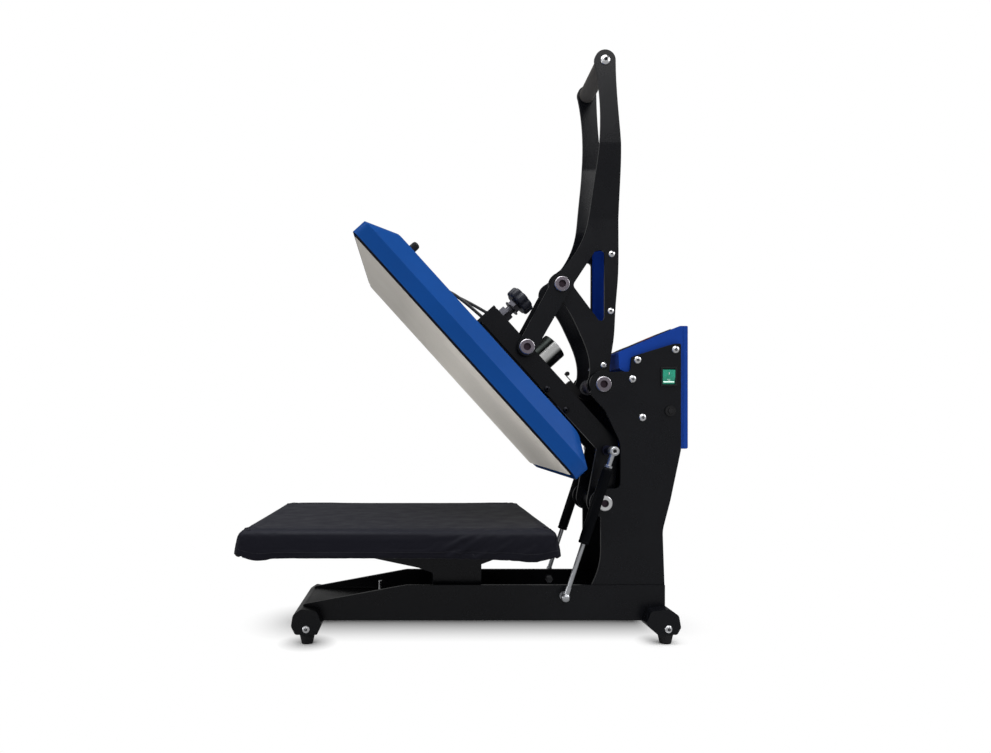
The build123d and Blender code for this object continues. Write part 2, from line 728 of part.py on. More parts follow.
def arm_plate():
    beam = outline([(ARM_FRONT_T, ARM_UNDER, 0), (ARM_KNEE[0], ARM_UNDER, 0), (ARM_KNEE[0], ARM_TOP, 0),
                    (ARM_FRONT_T, ARM_TOP, 3)])
    knee = hull_of(disc(ARM_KNEE, (ARM_TOP - ARM_UNDER) / 2), disc(PIVOT_TH, ARM_LOBE_R))
    face = beam + knee + disc(FOOT_TH, 18.0) + disc(HEAD_TH, 15.0)
    plate = slab(face, ARM_IN, ARM_OUT)
    plate -= bar_x(PIVOT_TH, 14.0, ARM_IN - 1, ARM_OUT + 1)
    plate -= bar_x(FOOT_TH, PIN_R, ARM_IN - 1, ARM_OUT + 1)
    plate -= bar_x(HEAD_TH, 6.0, ARM_IN - 1, ARM_OUT + 1)
    for centre in ARM_BOLTS:
        plate -= bar_x(centre, 3.1, ARM_IN - 1, ARM_OUT + 1)
    return plate


def arm_bush():
    return tube_x(PIVOT_TH, 14.0, PIVOT_R + RUNNING, -COLUMN_IN + 0.6, COLUMN_IN - 0.6)


def arm_bridge():
    """The plate between the arm plates that carries spindle nut and magnet, with its front plate."""
    bridge = block(-ARM_IN, ARM_IN, *BRIDGE, BRIDGE_UNDER, ARM_TOP)
    front = block(-ARM_OUT, ARM_OUT, ARM_FRONT_T - 6, ARM_FRONT_T, 78.0, ARM_TOP)
    for x in LEAD_X:
        front -= block(x - 5.0, x + 5.0, ARM_FRONT_T - 7, ARM_FRONT_T + 1, 86.0, ARM_TOP + 1)
    bridge += front
    for x in LEAD_X:
        bridge -= block(x - 5.0, x + 5.0, ARM_FRONT_T - 1, LEAD_END_T + 3, BRIDGE_UNDER - 1, ARM_TOP + 1)
    bridge -= post(0, SPINDLE_T, 13.0, BRIDGE_UNDER - 1, ARM_TOP + 1)
    bridge -= post(0, MAGNET_T, 4.0, BRIDGE_UNDER - 1, ARM_TOP + 1)
    bridge -= bar_x(FOOT_TH, PIN_R, -ARM_IN - 1, ARM_IN + 1)
    for x in (-GUIDE_X, GUIDE_X):
        bridge -= post(x, GUIDE_T, 9.0, BRIDGE_UNDER - 1, ARM_TOP + 1)
    return bridge


SCREW_R = 8.0
NUT_TOP = 137.0


def spindle_nut():
    body = post(0, SPINDLE_T, 13.0, ARM_TOP - 20, ARM_TOP)
    collar = extrude(Pos(0, SPINDLE_T, ARM_TOP) * RegularPolygon(15.0, 6), amount=NUT_TOP - ARM_TOP)
    return body + collar - post(0, SPINDLE_T, SCREW_R + RUNNING, ARM_TOP - 21, NUT_TOP + 1)


def guide_bushes():
    bushes = []
    for x in (-GUIDE_X, GUIDE_X):
        outer = post(x, GUIDE_T, 9.0, ARM_TOP - 14, ARM_TOP + 2)
        bushes.append(outer - post(x, GUIDE_T, 6.0 + RUNNING, ARM_TOP - 15, ARM_TOP + 3))
    return bushes


def holding_magnet():
    can = post(0, MAGNET_T, MAGNET_R, ARM_TOP, MAGNET_TOP)
    groove = post(0, MAGNET_T, 19.5, MAGNET_TOP - 2, MAGNET_TOP + 1)
    groove -= post(0, MAGNET_T, 11.0, MAGNET_TOP - 3, MAGNET_TOP + 2)
    foot = post(0, MAGNET_T, 4.0, ARM_TOP - 16, ARM_TOP)
    nut = extrude(Pos(0, MAGNET_T, ARM_TOP - 15) * RegularPolygon(7.5, 6), amount=7.0)
    rim = fillet(can.edges().filter_by(GeomType.CIRCLE), 1.5)
    return rim - groove + foot + nut


def limit_switch():
    """A switch with a roller lever over its front end."""
    front, rear = SWITCH
    body = block(-10.0, 10.0, front, rear, ARM_TOP, SWITCH_TOP)
    lever = block(-2.5, 2.5, front - 16, rear - 5, SWITCH_TOP + 1.4, SWITCH_TOP + 2.2)
    hinge = block(-2.5, 2.5, rear - 7, rear - 5, SWITCH_TOP - 1, SWITCH_TOP + 2)
    stem = block(-1.5, 1.5, front + 6, front + 9, SWITCH_TOP - 1, SWITCH_TOP + 1.6)
    roller = bar_x((front - 12.5, SWITCH_TOP + 5.6), 4.0, -2.5, 2.5)
    return body + lever + hinge + stem + roller


def link_cross_shaft():
    return bar_x(FOOT_TH, PIN_R, -ARM_OUT, ARM_OUT)


def upper_spring_shaft():
    """The cross shaft that carries the upper ends of the gas springs."""
    shaft = bar_x(HEAD_TH, 6.0, -SPRING_FACE, SPRING_FACE)
    collar = bar_x(HEAD_TH, 8.5, ARM_OUT, ARM_OUT + 5)
    flange = bar_x(HEAD_TH, 7.5, SPRING_FACE - 3.5, SPRING_FACE)
    for piece in both(collar) + both(flange):
        shaft += piece
    return shaft


def arm_bolts():
    bolts = []
    for centre in ARM_BOLTS:
        head = button_head(centre, ARM_OUT, 5.8, 3.0, 4.0)
        bolts += both(head + bar_x(centre, 3.0, ARM_IN - 7, ARM_OUT))
    return bolts


# Platen, in its own frame

GROOVE_RUNS = (-150.0, -50.0, 50.0, 150.0)
ELEMENT_R = 4.0
STANDOFFS = [(-22.0, 200.0), (22.0, 200.0), (-22.0, 400.0), (22.0, 400.0)]
BUMPERS = [(-120.0, 60.0), (120.0, 60.0)]
BLANKET_TOP = 50.0
SPINDLE_FOOT_R = 16.0
SHAFT_CLEARANCE = 1.8


def element_path(height):
    ends = (60.0, 440.0)
    points = []
    for i, x in enumerate(GROOVE_RUNS):
        pair = ends if i % 2 == 0 else ends[::-1]
        points += [(x, t, height) for t in pair]
    turn = 45.0
    return FilletPolyline(*points, radius=turn)


def element_tube(radius):
    path = element_path(PLATE_THICKNESS)
    start = Plane(origin=path @ 0, z_dir=path % 0)
    return sweep(start * Circle(radius), path=path)


def heating_plate():
    plate = block(-PLATEN_WIDTH / 2, PLATEN_WIDTH / 2, 0, PLATEN_LENGTH, 0, PLATE_THICKNESS)
    plate = fillet(plate.edges().filter_by(Axis.Z), 8.0)
    return plate - element_tube(ELEMENT_R + 0.05)


def cover_plan(wall, slope_in):
    """The cover's outline seen from above, drawn in by its wall and by its slope."""
    half = PLATEN_WIDTH / 2 + COVER_SIDE - wall - slope_in
    front = wall + slope_in - COVER_FRONT
    rear = PLATEN_LENGTH + COVER_REAR - wall - slope_in
    nose = COVER_FRONT_R - wall
    tail = COVER_REAR_R - wall
    return outline([(-half, front, nose), (half, front, nose), (half, rear, tail), (-half, rear, tail)])


def frustum(wall, z_low, z_mid, z_top):
    """The cover's form: an upright skirt and sloped shoulders."""
    foot = cover_plan(wall, 0)
    skirt = extrude(Pos(0, 0, z_low) * foot, amount=z_mid - z_low)
    crown = Pos(0, 0, z_top) * cover_plan(wall, COVER_CHAMFER)
    return skirt + loft([Pos(0, 0, z_mid) * foot, crown])


def platen_cover():
    shell = frustum(0, SKIRT_LOW, SKIRT_TOP, COVER_TOP)
    shell -= frustum(COVER_WALL, SKIRT_LOW - 1, SKIRT_TOP - 0.8, COVER_TOP - COVER_WALL)
    for x, t in STANDOFFS:
        shell -= post(x, t, 8.0, COVER_TOP - 5, COVER_TOP + 1)
    for x, t in BUMPERS:
        shell -= post(x, t, 3.0, COVER_TOP - 5, COVER_TOP + 1)
    for x in LEAD_X:
        shell -= post(x, LEAD_ROOT_T, 5.0, COVER_TOP - 5, COVER_TOP + 1)
    return shell


def insulation_blanket():
    blanket = frustum(4.0, PLATE_THICKNESS + ELEMENT_R + 0.3, SKIRT_TOP - 1.4, BLANKET_TOP)
    for x, t in STANDOFFS:
        blanket -= post(x, t, 8.0, PLATE_THICKNESS, BLANKET_TOP + 1)
    for x in LEAD_X:
        blanket -= post(x, LEAD_ROOT_T, 9.0, PLATE_THICKNESS, BLANKET_TOP + 1)
    return blanket


def platen_standoffs():
    return [post(x, t, 8.0, PLATE_THICKNESS, COVER_TOP) for x, t in STANDOFFS]


def temperature_probe():
    tab = post(0, 150.0, 5.0, PLATE_THICKNESS, PLATE_THICKNESS + 3)
    return tab + block(-2, 2, 110, 150, PLATE_THICKNESS, PLATE_THICKNESS + 3)


def platen_mount():
    """The thick plate on the cover, with flanges that stand between the arm plates."""
    half = ARM_IN - 1.0
    base = block(-70.0, 70.0, 182.0, 430.0, COVER_TOP, MOUNT_TOP)
    flange_top = FOOT_TH[1] - PIN_R - PRESSURE_TRAVEL - SHAFT_CLEARANCE
    flange = block(half - 5, half, 228.0, 430.0, MOUNT_TOP, flange_top)
    mount = base
    for side in both(flange):
        mount += side
    for x in (-GUIDE_X, GUIDE_X):
        mount -= post(x, GUIDE_T, 6.0, COVER_TOP - 1, MOUNT_TOP + 1)
    mount -= post(0, SPINDLE_T, SCREW_R + RUNNING, COVER_TOP + 2, MOUNT_TOP + 1)
    mount -= post(0, SPINDLE_T, SPINDLE_FOOT_R + 0.1, COVER_TOP - 1, COVER_TOP + 4.1)
    for x, t in STANDOFFS:
        mount -= post(x, t, 4.0, COVER_TOP - 1, MOUNT_TOP + 1)
    for centre in ARM_BOLTS:
        for cut in both(bar_x(centre, 16.0, half - 6, half + 1)):
            mount -= cut
    return mount


def guide_pins():
    return [post(x, GUIDE_T, 6.0, COVER_TOP, ARM_TOP - 1) for x in (-GUIDE_X, GUIDE_X)]


def mount_bolts():
    bolts = []
    for x, t in STANDOFFS:
        head = extrude(Pos(x, t, MOUNT_TOP) * RegularPolygon(6.5, 6), amount=5.0)
        bolts.append(head + post(x, t, 4.0, COVER_TOP, MOUNT_TOP))
    return bolts


def cover_bumpers():
    bumpers = []
    for x, t in BUMPERS:
        rubber = Pos(x, t, 0) * extrude(Pos(0, 0, COVER_TOP) * Circle(7.5), amount=19.0, taper=3)
        bumpers.append(rubber + post(x, t, 3.0, COVER_TOP - 5, COVER_TOP))
    return bumpers


KNOB_LOW = 157.0
KNOB_HIGH = 179.0
KNOB_R = 26.0
KNOB_LOBES = 8


def pressure_spindle():
    screw = post(0, SPINDLE_T, SCREW_R, COVER_TOP + 0.5, KNOB_HIGH - 6)
    foot = post(0, SPINDLE_T, SPINDLE_FOOT_R, COVER_TOP + 0.3, COVER_TOP + 3.8)
    jam_nut = extrude(Pos(0, SPINDLE_T, KNOB_LOW - 9) * RegularPolygon(13.5, 6), amount=9.0)
    washer = post(0, SPINDLE_T, 15.0, KNOB_LOW - 10.5, KNOB_LOW - 9)
    return screw + foot + jam_nut + washer


def pressure_knob():
    """A lobed hand knob on the spindle."""
    body = Circle(KNOB_R - 4.0)
    for i in range(KNOB_LOBES):
        angle = 360.0 * i / KNOB_LOBES
        body += Rot(0, 0, angle) * Pos(KNOB_R - 6.5, 0) * Circle(6.5)
    disc_part = extrude(Pos(0, SPINDLE_T, KNOB_LOW + 1) * body, amount=KNOB_HIGH - KNOB_LOW - 2)
    hub = post(0, SPINDLE_T, 13.0, KNOB_LOW, KNOB_HIGH)
    return disc_part + hub - post(0, SPINDLE_T, SCREW_R, KNOB_LOW - 1, KNOB_HIGH - 6)


# Sleeved leads from the cover to the arm, as (t, h) points

LEAD_ROOT_T = 120.0
LEAD_R = 2.8
HEATER_LEAD = [
    (120.0, 44.0), (120.0, 66.0), (130.0, 78.0), (150.0, 88.0), (185.0, 101.5), (216.0, 111.5),
    (LEAD_END_T, 115.0)]
SENSOR_LEAD = [
    (120.0, 44.0), (120.0, 62.0), (131.0, 76.0), (152.0, 85.0), (183.0, 90.5), (216.0, 94.5),
    (LEAD_END_T, 95.5)]


def lead(x, route):
    """A sleeved lead of round section; each arc is as large as its two runs allow."""
    points = [Vector(x, t, h) for t, h in route]
    radii = []
    for a, b, c in zip(points, points[1:], points[2:]):
        turn = (b - a).get_angle(c - b)
        shorter = min((b - a).length, (c - b).length)
        radii.append(0.45 * shorter / math.tan(math.radians(turn / 2)))
    path = FilletPolyline(*points, radius=radii)
    print("lead length", round(path.length, 1), "radii", [round(r, 1) for r in radii])
    start = Plane(origin=path @ 0, z_dir=path % 0)
    return sweep(start * Circle(LEAD_R), path=path)


# Gas springs, in their own frame: local z runs from the lower ball to the upper one

SPRING_RUN = math.hypot(SPRING_HEAD[0] - SPRING_FOOT[0], SPRING_HEAD[1] - SPRING_FOOT[1])
SPRING_LEAN = math.degrees(math.atan2(SPRING_HEAD[0] - SPRING_FOOT[0], SPRING_HEAD[1] - SPRING_FOOT[1]))
ROD_R = 4.0
TUBE_R = 9.0
TUBE_LENGTH = 136.0
TUBE_FOOT = SPRING_RUN - 30.0 - TUBE_LENGTH
CUP_R = 7.9


def spring_at(side):
    return Pos(side * SPRING_X, *SPRING_FOOT) * Rot(-SPRING_LEAN, 0, 0)


def gas_rod(side):
    """Piston rod, piston and lower ball socket."""
    cup = Sphere(CUP_R) + post(0, 0, 5.0, 0, 19)
    cup -= Pos(-side * 15, 0, 0) * Rot(0, 90, 0) * Cylinder(BALL_NECK_R + 0.5, 30)
    rod = post(0, 0, ROD_R, 10, TUBE_FOOT + 60)
    piston = post(0, 0, TUBE_R - 1.6, TUBE_FOOT + 60, TUBE_FOOT + 68)
    pieces = cup + rod + piston
    pieces -= Sphere(BALL_R + RUNNING)
    return spring_at(side) * pieces


def gas_tube(side):
    outer = post(0, 0, TUBE_R, TUBE_FOOT, TUBE_FOOT + TUBE_LENGTH)
    inner = post(0, 0, TUBE_R - 1.5, TUBE_FOOT + 6, TUBE_FOOT + TUBE_LENGTH - 4)
    gland = post(0, 0, ROD_R + RUNNING, TUBE_FOOT - 1, TUBE_FOOT + 7)
    return spring_at(side) * (outer - inner - gland)


def gas_head(side):
    """Upper end fitting: threaded neck, shoulder and cup over the stud's end."""
    top = SPRING_RUN
    neck = post(0, 0, 4.4, TUBE_FOOT + TUBE_LENGTH, top - 5)
    nut = extrude(Pos(0, 0, TUBE_FOOT + TUBE_LENGTH) * RegularPolygon(6.4, 6), amount=4.0)
    inside = -side * (SPRING_X - SPRING_FACE - SPLIT_GAP)
    outside = side * 8.0
    low, high = min(inside, outside), max(inside, outside)
    cup = Pos((low + high) / 2, 0, top) * Rot(0, 90, 0) * Cylinder(CUP_R, high - low)
    return spring_at(side) * (neck + nut + cup)


def closing_angles():
    """Turns of arm, handle, link and gas spring from open to closed, for the drive ratios."""
    turn = math.radians(OPEN_ANGLE)

    def about(centre, point, angle):
        dy, dz = point[0] - centre[0], point[1] - centre[1]
        return (centre[0] + dy * math.cos(angle) - dz * math.sin(angle),
                centre[1] + dy * math.sin(angle) + dz * math.cos(angle))

    foot = about(ARM_PIVOT, LINK_FOOT, turn)
    crank = math.dist(HANDLE_PIVOT, LINK_TOP)
    link = math.dist(LINK_TOP, LINK_FOOT)
    reach = math.dist(HANDLE_PIVOT, foot)
    inside = (crank ** 2 + reach ** 2 - link ** 2) / (2 * crank * reach)
    lag = math.acos(min(1.0, inside))
    way = math.atan2(foot[1] - HANDLE_PIVOT[1], foot[0] - HANDLE_PIVOT[0]) % (2 * math.pi)
    start = math.atan2(LINK_TOP[1] - HANDLE_PIVOT[1], LINK_TOP[0] - HANDLE_PIVOT[0])
    handle = way - lag - start
    top = about(HANDLE_PIVOT, LINK_TOP, handle)
    link_start = math.atan2(LINK_FOOT[1] - LINK_TOP[1], LINK_FOOT[0] - LINK_TOP[0])
    link_end = math.atan2(foot[1] - top[1], foot[0] - top[0])
    link_turn = link_end - link_start
    head = about(ARM_PIVOT, SPRING_HEAD, turn)
    closed = math.degrees(math.atan2(head[1] - SPRING_FOOT[1], head[0] - SPRING_FOOT[0]))
    swing = closed - (90 - SPRING_LEAN)
    stroke = math.dist(head, SPRING_FOOT) - SPRING_RUN
    print("reach", round(reach, 2), "of", round(crank + link, 2), "lag", round(math.degrees(lag), 2))
    print("handle turn", round(math.degrees(handle), 3), "link turn", round(math.degrees(link_turn), 3))
    print("spring swing", round(swing, 3), "spring stroke", round(stroke, 3))
    print("platen front", [round(v, 3) for v in PLATEN_FRONT], "spring run", round(SPRING_RUN, 3),
          "lean", round(SPRING_LEAN, 3))


def main():
    os.makedirs("parts", exist_ok=True)
    closing_angles()
    cuts = [slab(outline(corners), -120.0, 120.0) for corners in FOOT_OUTLINES.values()]
    right_handle = handle_plate()

    stand = {
        "base_rails": both(rail(cuts)),
        "base_floor_plate": [floor_plate()],
        "front_foot_bar": [foot_bar("front")],
        "rear_foot_bar": [foot_bar("rear")],
        "rubber_feet": rubber_feet(),
        "column_plate_right": [column_plate(True)],
        "column_plate_left": [mirror(column_plate(False), about=Plane.YZ)],
        "column_back_plate": [column_back()],
        "stand_screws": column_screws() + foot_screws() + bed_bolts() + [floor_stud()],
        "pivot_shafts": pivot_shaft(HANDLE_PIVOT) + pivot_shaft(ARM_PIVOT),
        "lower_ball_studs": lower_ball_studs(),
        "control_housing": [control_housing()],
        "control_fascia": [control_fascia()],
        "display_window": [display_window()],
        "control_board": [control_board()],
        "power_inlet": [power_inlet()],
        "rocker_frame": [rocker_frame()],
        "breaker_body": [breaker_bush()],
        "bed_pedestal": [bed_pedestal()],
        "bed_bracket": [bed_bracket()],
        "bed_plate": [bed_plate()],
        "bed_pad": [bed_pad()],
        "bed_cover": [bed_cover()],
    }
    movers = {
        "rocker": [rocker()],
        "breaker_button": [breaker_button()],
        "handle_plate_right": [right_handle],
        "handle_plate_left": [mirror(right_handle, about=Plane.YZ)],
        "handle_bushes": handle_bushes(),
        "grip_core": [grip_core()],
        "grip_sleeve": [grip_sleeve()],
        "handle_brace": [handle_brace()],
        "handle_screws": grip_screws() + brace_screws(),
        "link_shaft": [link_shaft()],
        "link_plates": both(link_plate()),
        "link_pins": link_pins(),
    }
    for side, word in ((1, "right"), (-1, "left")):
        movers["gas_rod_" + word] = [gas_rod(side)]
        movers["gas_tube_" + word] = [gas_tube(side)]
        movers["gas_head_" + word] = [gas_head(side)]
    tilted = {
        "arm_plates": both(arm_plate()),
        "arm_bush": [arm_bush()],
        "arm_bridge": [arm_bridge()],
        "bridge_bushes": [spindle_nut()] + guide_bushes(),
        "holding_magnet": [holding_magnet()],
        "limit_switch": [limit_switch()],
        "arm_cross_shafts": [link_cross_shaft(), upper_spring_shaft()],
        "arm_bolts": arm_bolts(),
        "heating_plate": [heating_plate()],
        "heating_element": [element_tube(ELEMENT_R)],
        "temperature_probe": [temperature_probe()],
        "insulation_blanket": [insulation_blanket()],
        "platen_cover": [platen_cover()],
        "platen_mount": [platen_mount()],
        "platen_posts": platen_standoffs() + guide_pins() + mount_bolts(),
        "cover_bumpers": cover_bumpers(),
        "sleeved_leads": [lead(LEAD_X[0], HEATER_LEAD), lead(LEAD_X[1], SENSOR_LEAD)],
        "pressure_spindle": [pressure_spindle()],
        "pressure_knob": [pressure_knob()],
    }
    for name, pieces in {**stand, **movers}.items():
        save(name, pieces)
    for name, pieces in tilted.items():
        save(name, [PLATEN_AT * piece for piece in pieces])


main()
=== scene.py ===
import json
import math

import bmesh
import bpy
from mathutils import Matrix, Vector, noise

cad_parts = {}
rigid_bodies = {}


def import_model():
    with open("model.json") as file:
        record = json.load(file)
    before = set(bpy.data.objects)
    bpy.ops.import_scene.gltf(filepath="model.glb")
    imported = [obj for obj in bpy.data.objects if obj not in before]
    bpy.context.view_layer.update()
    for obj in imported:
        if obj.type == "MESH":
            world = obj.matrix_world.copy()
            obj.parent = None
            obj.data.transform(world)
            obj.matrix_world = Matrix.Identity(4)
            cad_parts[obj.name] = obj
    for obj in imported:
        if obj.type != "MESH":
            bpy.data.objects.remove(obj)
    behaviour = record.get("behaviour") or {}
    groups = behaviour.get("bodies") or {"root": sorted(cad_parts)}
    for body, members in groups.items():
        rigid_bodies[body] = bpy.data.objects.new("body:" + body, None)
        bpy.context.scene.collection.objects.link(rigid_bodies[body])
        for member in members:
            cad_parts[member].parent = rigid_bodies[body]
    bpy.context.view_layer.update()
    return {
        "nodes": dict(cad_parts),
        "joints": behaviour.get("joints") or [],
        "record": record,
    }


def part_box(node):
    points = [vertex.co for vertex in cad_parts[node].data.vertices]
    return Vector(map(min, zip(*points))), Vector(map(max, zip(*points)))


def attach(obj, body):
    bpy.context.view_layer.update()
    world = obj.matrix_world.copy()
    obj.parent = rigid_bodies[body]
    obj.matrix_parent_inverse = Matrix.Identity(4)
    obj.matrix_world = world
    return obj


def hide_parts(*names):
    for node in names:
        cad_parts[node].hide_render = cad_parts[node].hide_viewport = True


# Flat heat press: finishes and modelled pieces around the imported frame.
# Metres, Z up, the machine's front at -Y and its switch side at +X.

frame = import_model()
NODES = frame["nodes"]
JOINTS = {joint["name"]: joint for joint in frame["joints"]}
MM = 0.001

# The photograph's view
CAMERA_AT = (1.309, -0.0965, 0.367)
CAMERA_LOOK = (-1.0, 0.0, 0.0)
CAMERA_LENS = 26.04
CAMERA_SHIFT = (0.0812, 0.0520)

# The platen's own frame: x across, t along the plate from its front edge, h up from its face
ARM_PIVOT = Vector(JOINTS["arm_pivot"]["pos_m"])
OPEN_ANGLE = math.radians(JOINTS["arm_pivot"]["range_deg"][1])
PIVOT_T = 599.6 * MM
PIVOT_H = 25.5 * MM
PLATEN_TURN = Matrix.Rotation(-OPEN_ANGLE, 4, "X")
PLATEN_ORIGIN = ARM_PIVOT - PLATEN_TURN @ Vector((0, PIVOT_T, PIVOT_H))
PLATEN_AT = Matrix.Translation(PLATEN_ORIGIN) @ PLATEN_TURN
PLATEN_DOWN = PLATEN_TURN @ Vector((0, 0, -1))
PLATEN_ALONG = PLATEN_TURN @ Vector((0, 1, 0))

# Gas springs stand along their stroke
SPRING_AXIS = Vector(JOINTS["spring_stroke_right"]["axis"])

SIDES = ((1, "right"), (-1, "left"))
# Edges that turn less than this are shaded as round
ROUND_OFF = math.radians(36)


# Small helpers


def link_up(name, mesh):
    piece = bpy.data.objects.new(name, mesh)
    bpy.context.scene.collection.objects.link(piece)
    return piece


def smooth(mesh, angle=ROUND_OFF):
    for face in mesh.polygons:
        face.use_smooth = True
    mesh.set_sharp_from_angle(angle=angle)


def outward(mesh):
    """Merges doubles and turns every face outwards."""
    work = bmesh.new()
    work.from_mesh(mesh)
    bmesh.ops.remove_doubles(work, verts=work.verts, dist=0.004 * MM)
    bmesh.ops.recalc_face_normals(work, faces=work.faces)
    work.to_mesh(mesh)
    work.free()


def joined(name, meshes):
    """One mesh from several, each with its own material kept."""
    work = bmesh.new()
    finishes = []
    for mesh in meshes:
        first = len(work.faces)
        work.from_mesh(mesh)
        work.faces.ensure_lookup_table()
        for face in work.faces[first:]:
            finish = mesh.materials[face.material_index] if mesh.materials else None
            if finish not in finishes:
                finishes.append(finish)
            face.material_index = finishes.index(finish)
    whole = bpy.data.meshes.new(name)
    work.to_mesh(whole)
    work.free()
    for finish in finishes:
        whole.materials.append(finish)
    return whole


def finish_piece(name, mesh, body, replaces=()):
    """Puts a made mesh, or several joined into one, in the scene on its body."""
    piece = link_up(name, joined(name, mesh) if isinstance(mesh, list) else mesh)
    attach(piece, body)
    if replaces:
        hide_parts(*replaces)
    return piece


def shift(x, y, z):
    """A shift given in millimetres."""
    return Matrix.Translation(Vector((x, y, z)) * MM)


def turned_by(degrees, axis):
    return Matrix.Rotation(math.radians(degrees), 4, axis)


def plain_mesh(work, name):
    """A mesh of the finished work, with every face turned outwards."""
    bmesh.ops.recalc_face_normals(work, faces=work.faces)
    mesh = bpy.data.meshes.new(name)
    work.to_mesh(mesh)
    work.free()
    return mesh


def add_ring(work, height, around, reach):
    """Points round local Z, reach(angle) millimetres out, or one point where that is nothing."""
    if reach(0) <= 0:
        return [work.verts.new((0, 0, height * MM))]
    ring = []
    for i in range(around):
        angle = 2 * math.pi * i / around
        out = reach(angle) * MM
        ring.append(work.verts.new((out * math.cos(angle), out * math.sin(angle), height * MM)))
    return ring


def skin_rings(work, rings, closed=False):
    """Faces from each ring to the next, where a ring of one point closes the end."""
    around = max(len(ring) for ring in rings)
    for low, high in zip(rings, rings[1:] + rings[:1] if closed else rings[1:]):
        for i in range(around):
            j = (i + 1) % around
            corners = [low[i % len(low)], low[j % len(low)], high[j % len(high)], high[i % len(high)]]
            distinct = list(dict.fromkeys(corners))
            if len(distinct) > 2:
                work.faces.new(distinct)


def lathe(profile, segments, place, finish, closed=False):
    """A turned piece: (radius, height) points round local Z in millimetres, then put in place."""
    work = bmesh.new()
    rings = [add_ring(work, height, segments, lambda angle: radius) for radius, height in profile]
    skin_rings(work, rings, closed)
    mesh = plain_mesh(work, "turned")
    mesh.transform(place)
    smooth(mesh)
    mesh.materials.append(finish)
    return mesh


def facing(direction):
    """The turn that takes local Z to a direction."""
    return Vector(direction).to_track_quat("Z", "Y").to_matrix().to_4x4()


# Nodes of every kind


def new_node(tree, kind, given=None, **settings):
    """A node with its settings, and its inputs fed with values or from other nodes' outputs."""
    node = tree.nodes.new(kind)
    for key, value in settings.items():
        setattr(node, key, value)
    for label, value in (given or {}).items():
        for source in value if isinstance(value, list) else [value]:
            if isinstance(source, bpy.types.NodeSocket):
                tree.links.new(source, node.inputs[label])
            else:
                node.inputs[label].default_value = source
    return node


def arithmetic(tree, operation, first, second):
    return new_node(tree, "ShaderNodeMath", {0: first, 1: second}, operation=operation).outputs[0]


def map_range(tree, value, low, high, to_low, to_high):
    given = {"Value": value, "From Min": low, "From Max": high, "To Min": to_low, "To Max": to_high}
    return new_node(tree, "ShaderNodeMapRange", given).outputs[0]


# Finishes


def linear(red, green, blue):
    """A colour given in the photograph's 0 to 255 levels."""
    levels = []
    for level in (red, green, blue):
        part = level / 255
        levels.append(part / 12.92 if part <= 0.04045 else ((part + 0.055) / 1.055) ** 2.4)
    return tuple(levels)


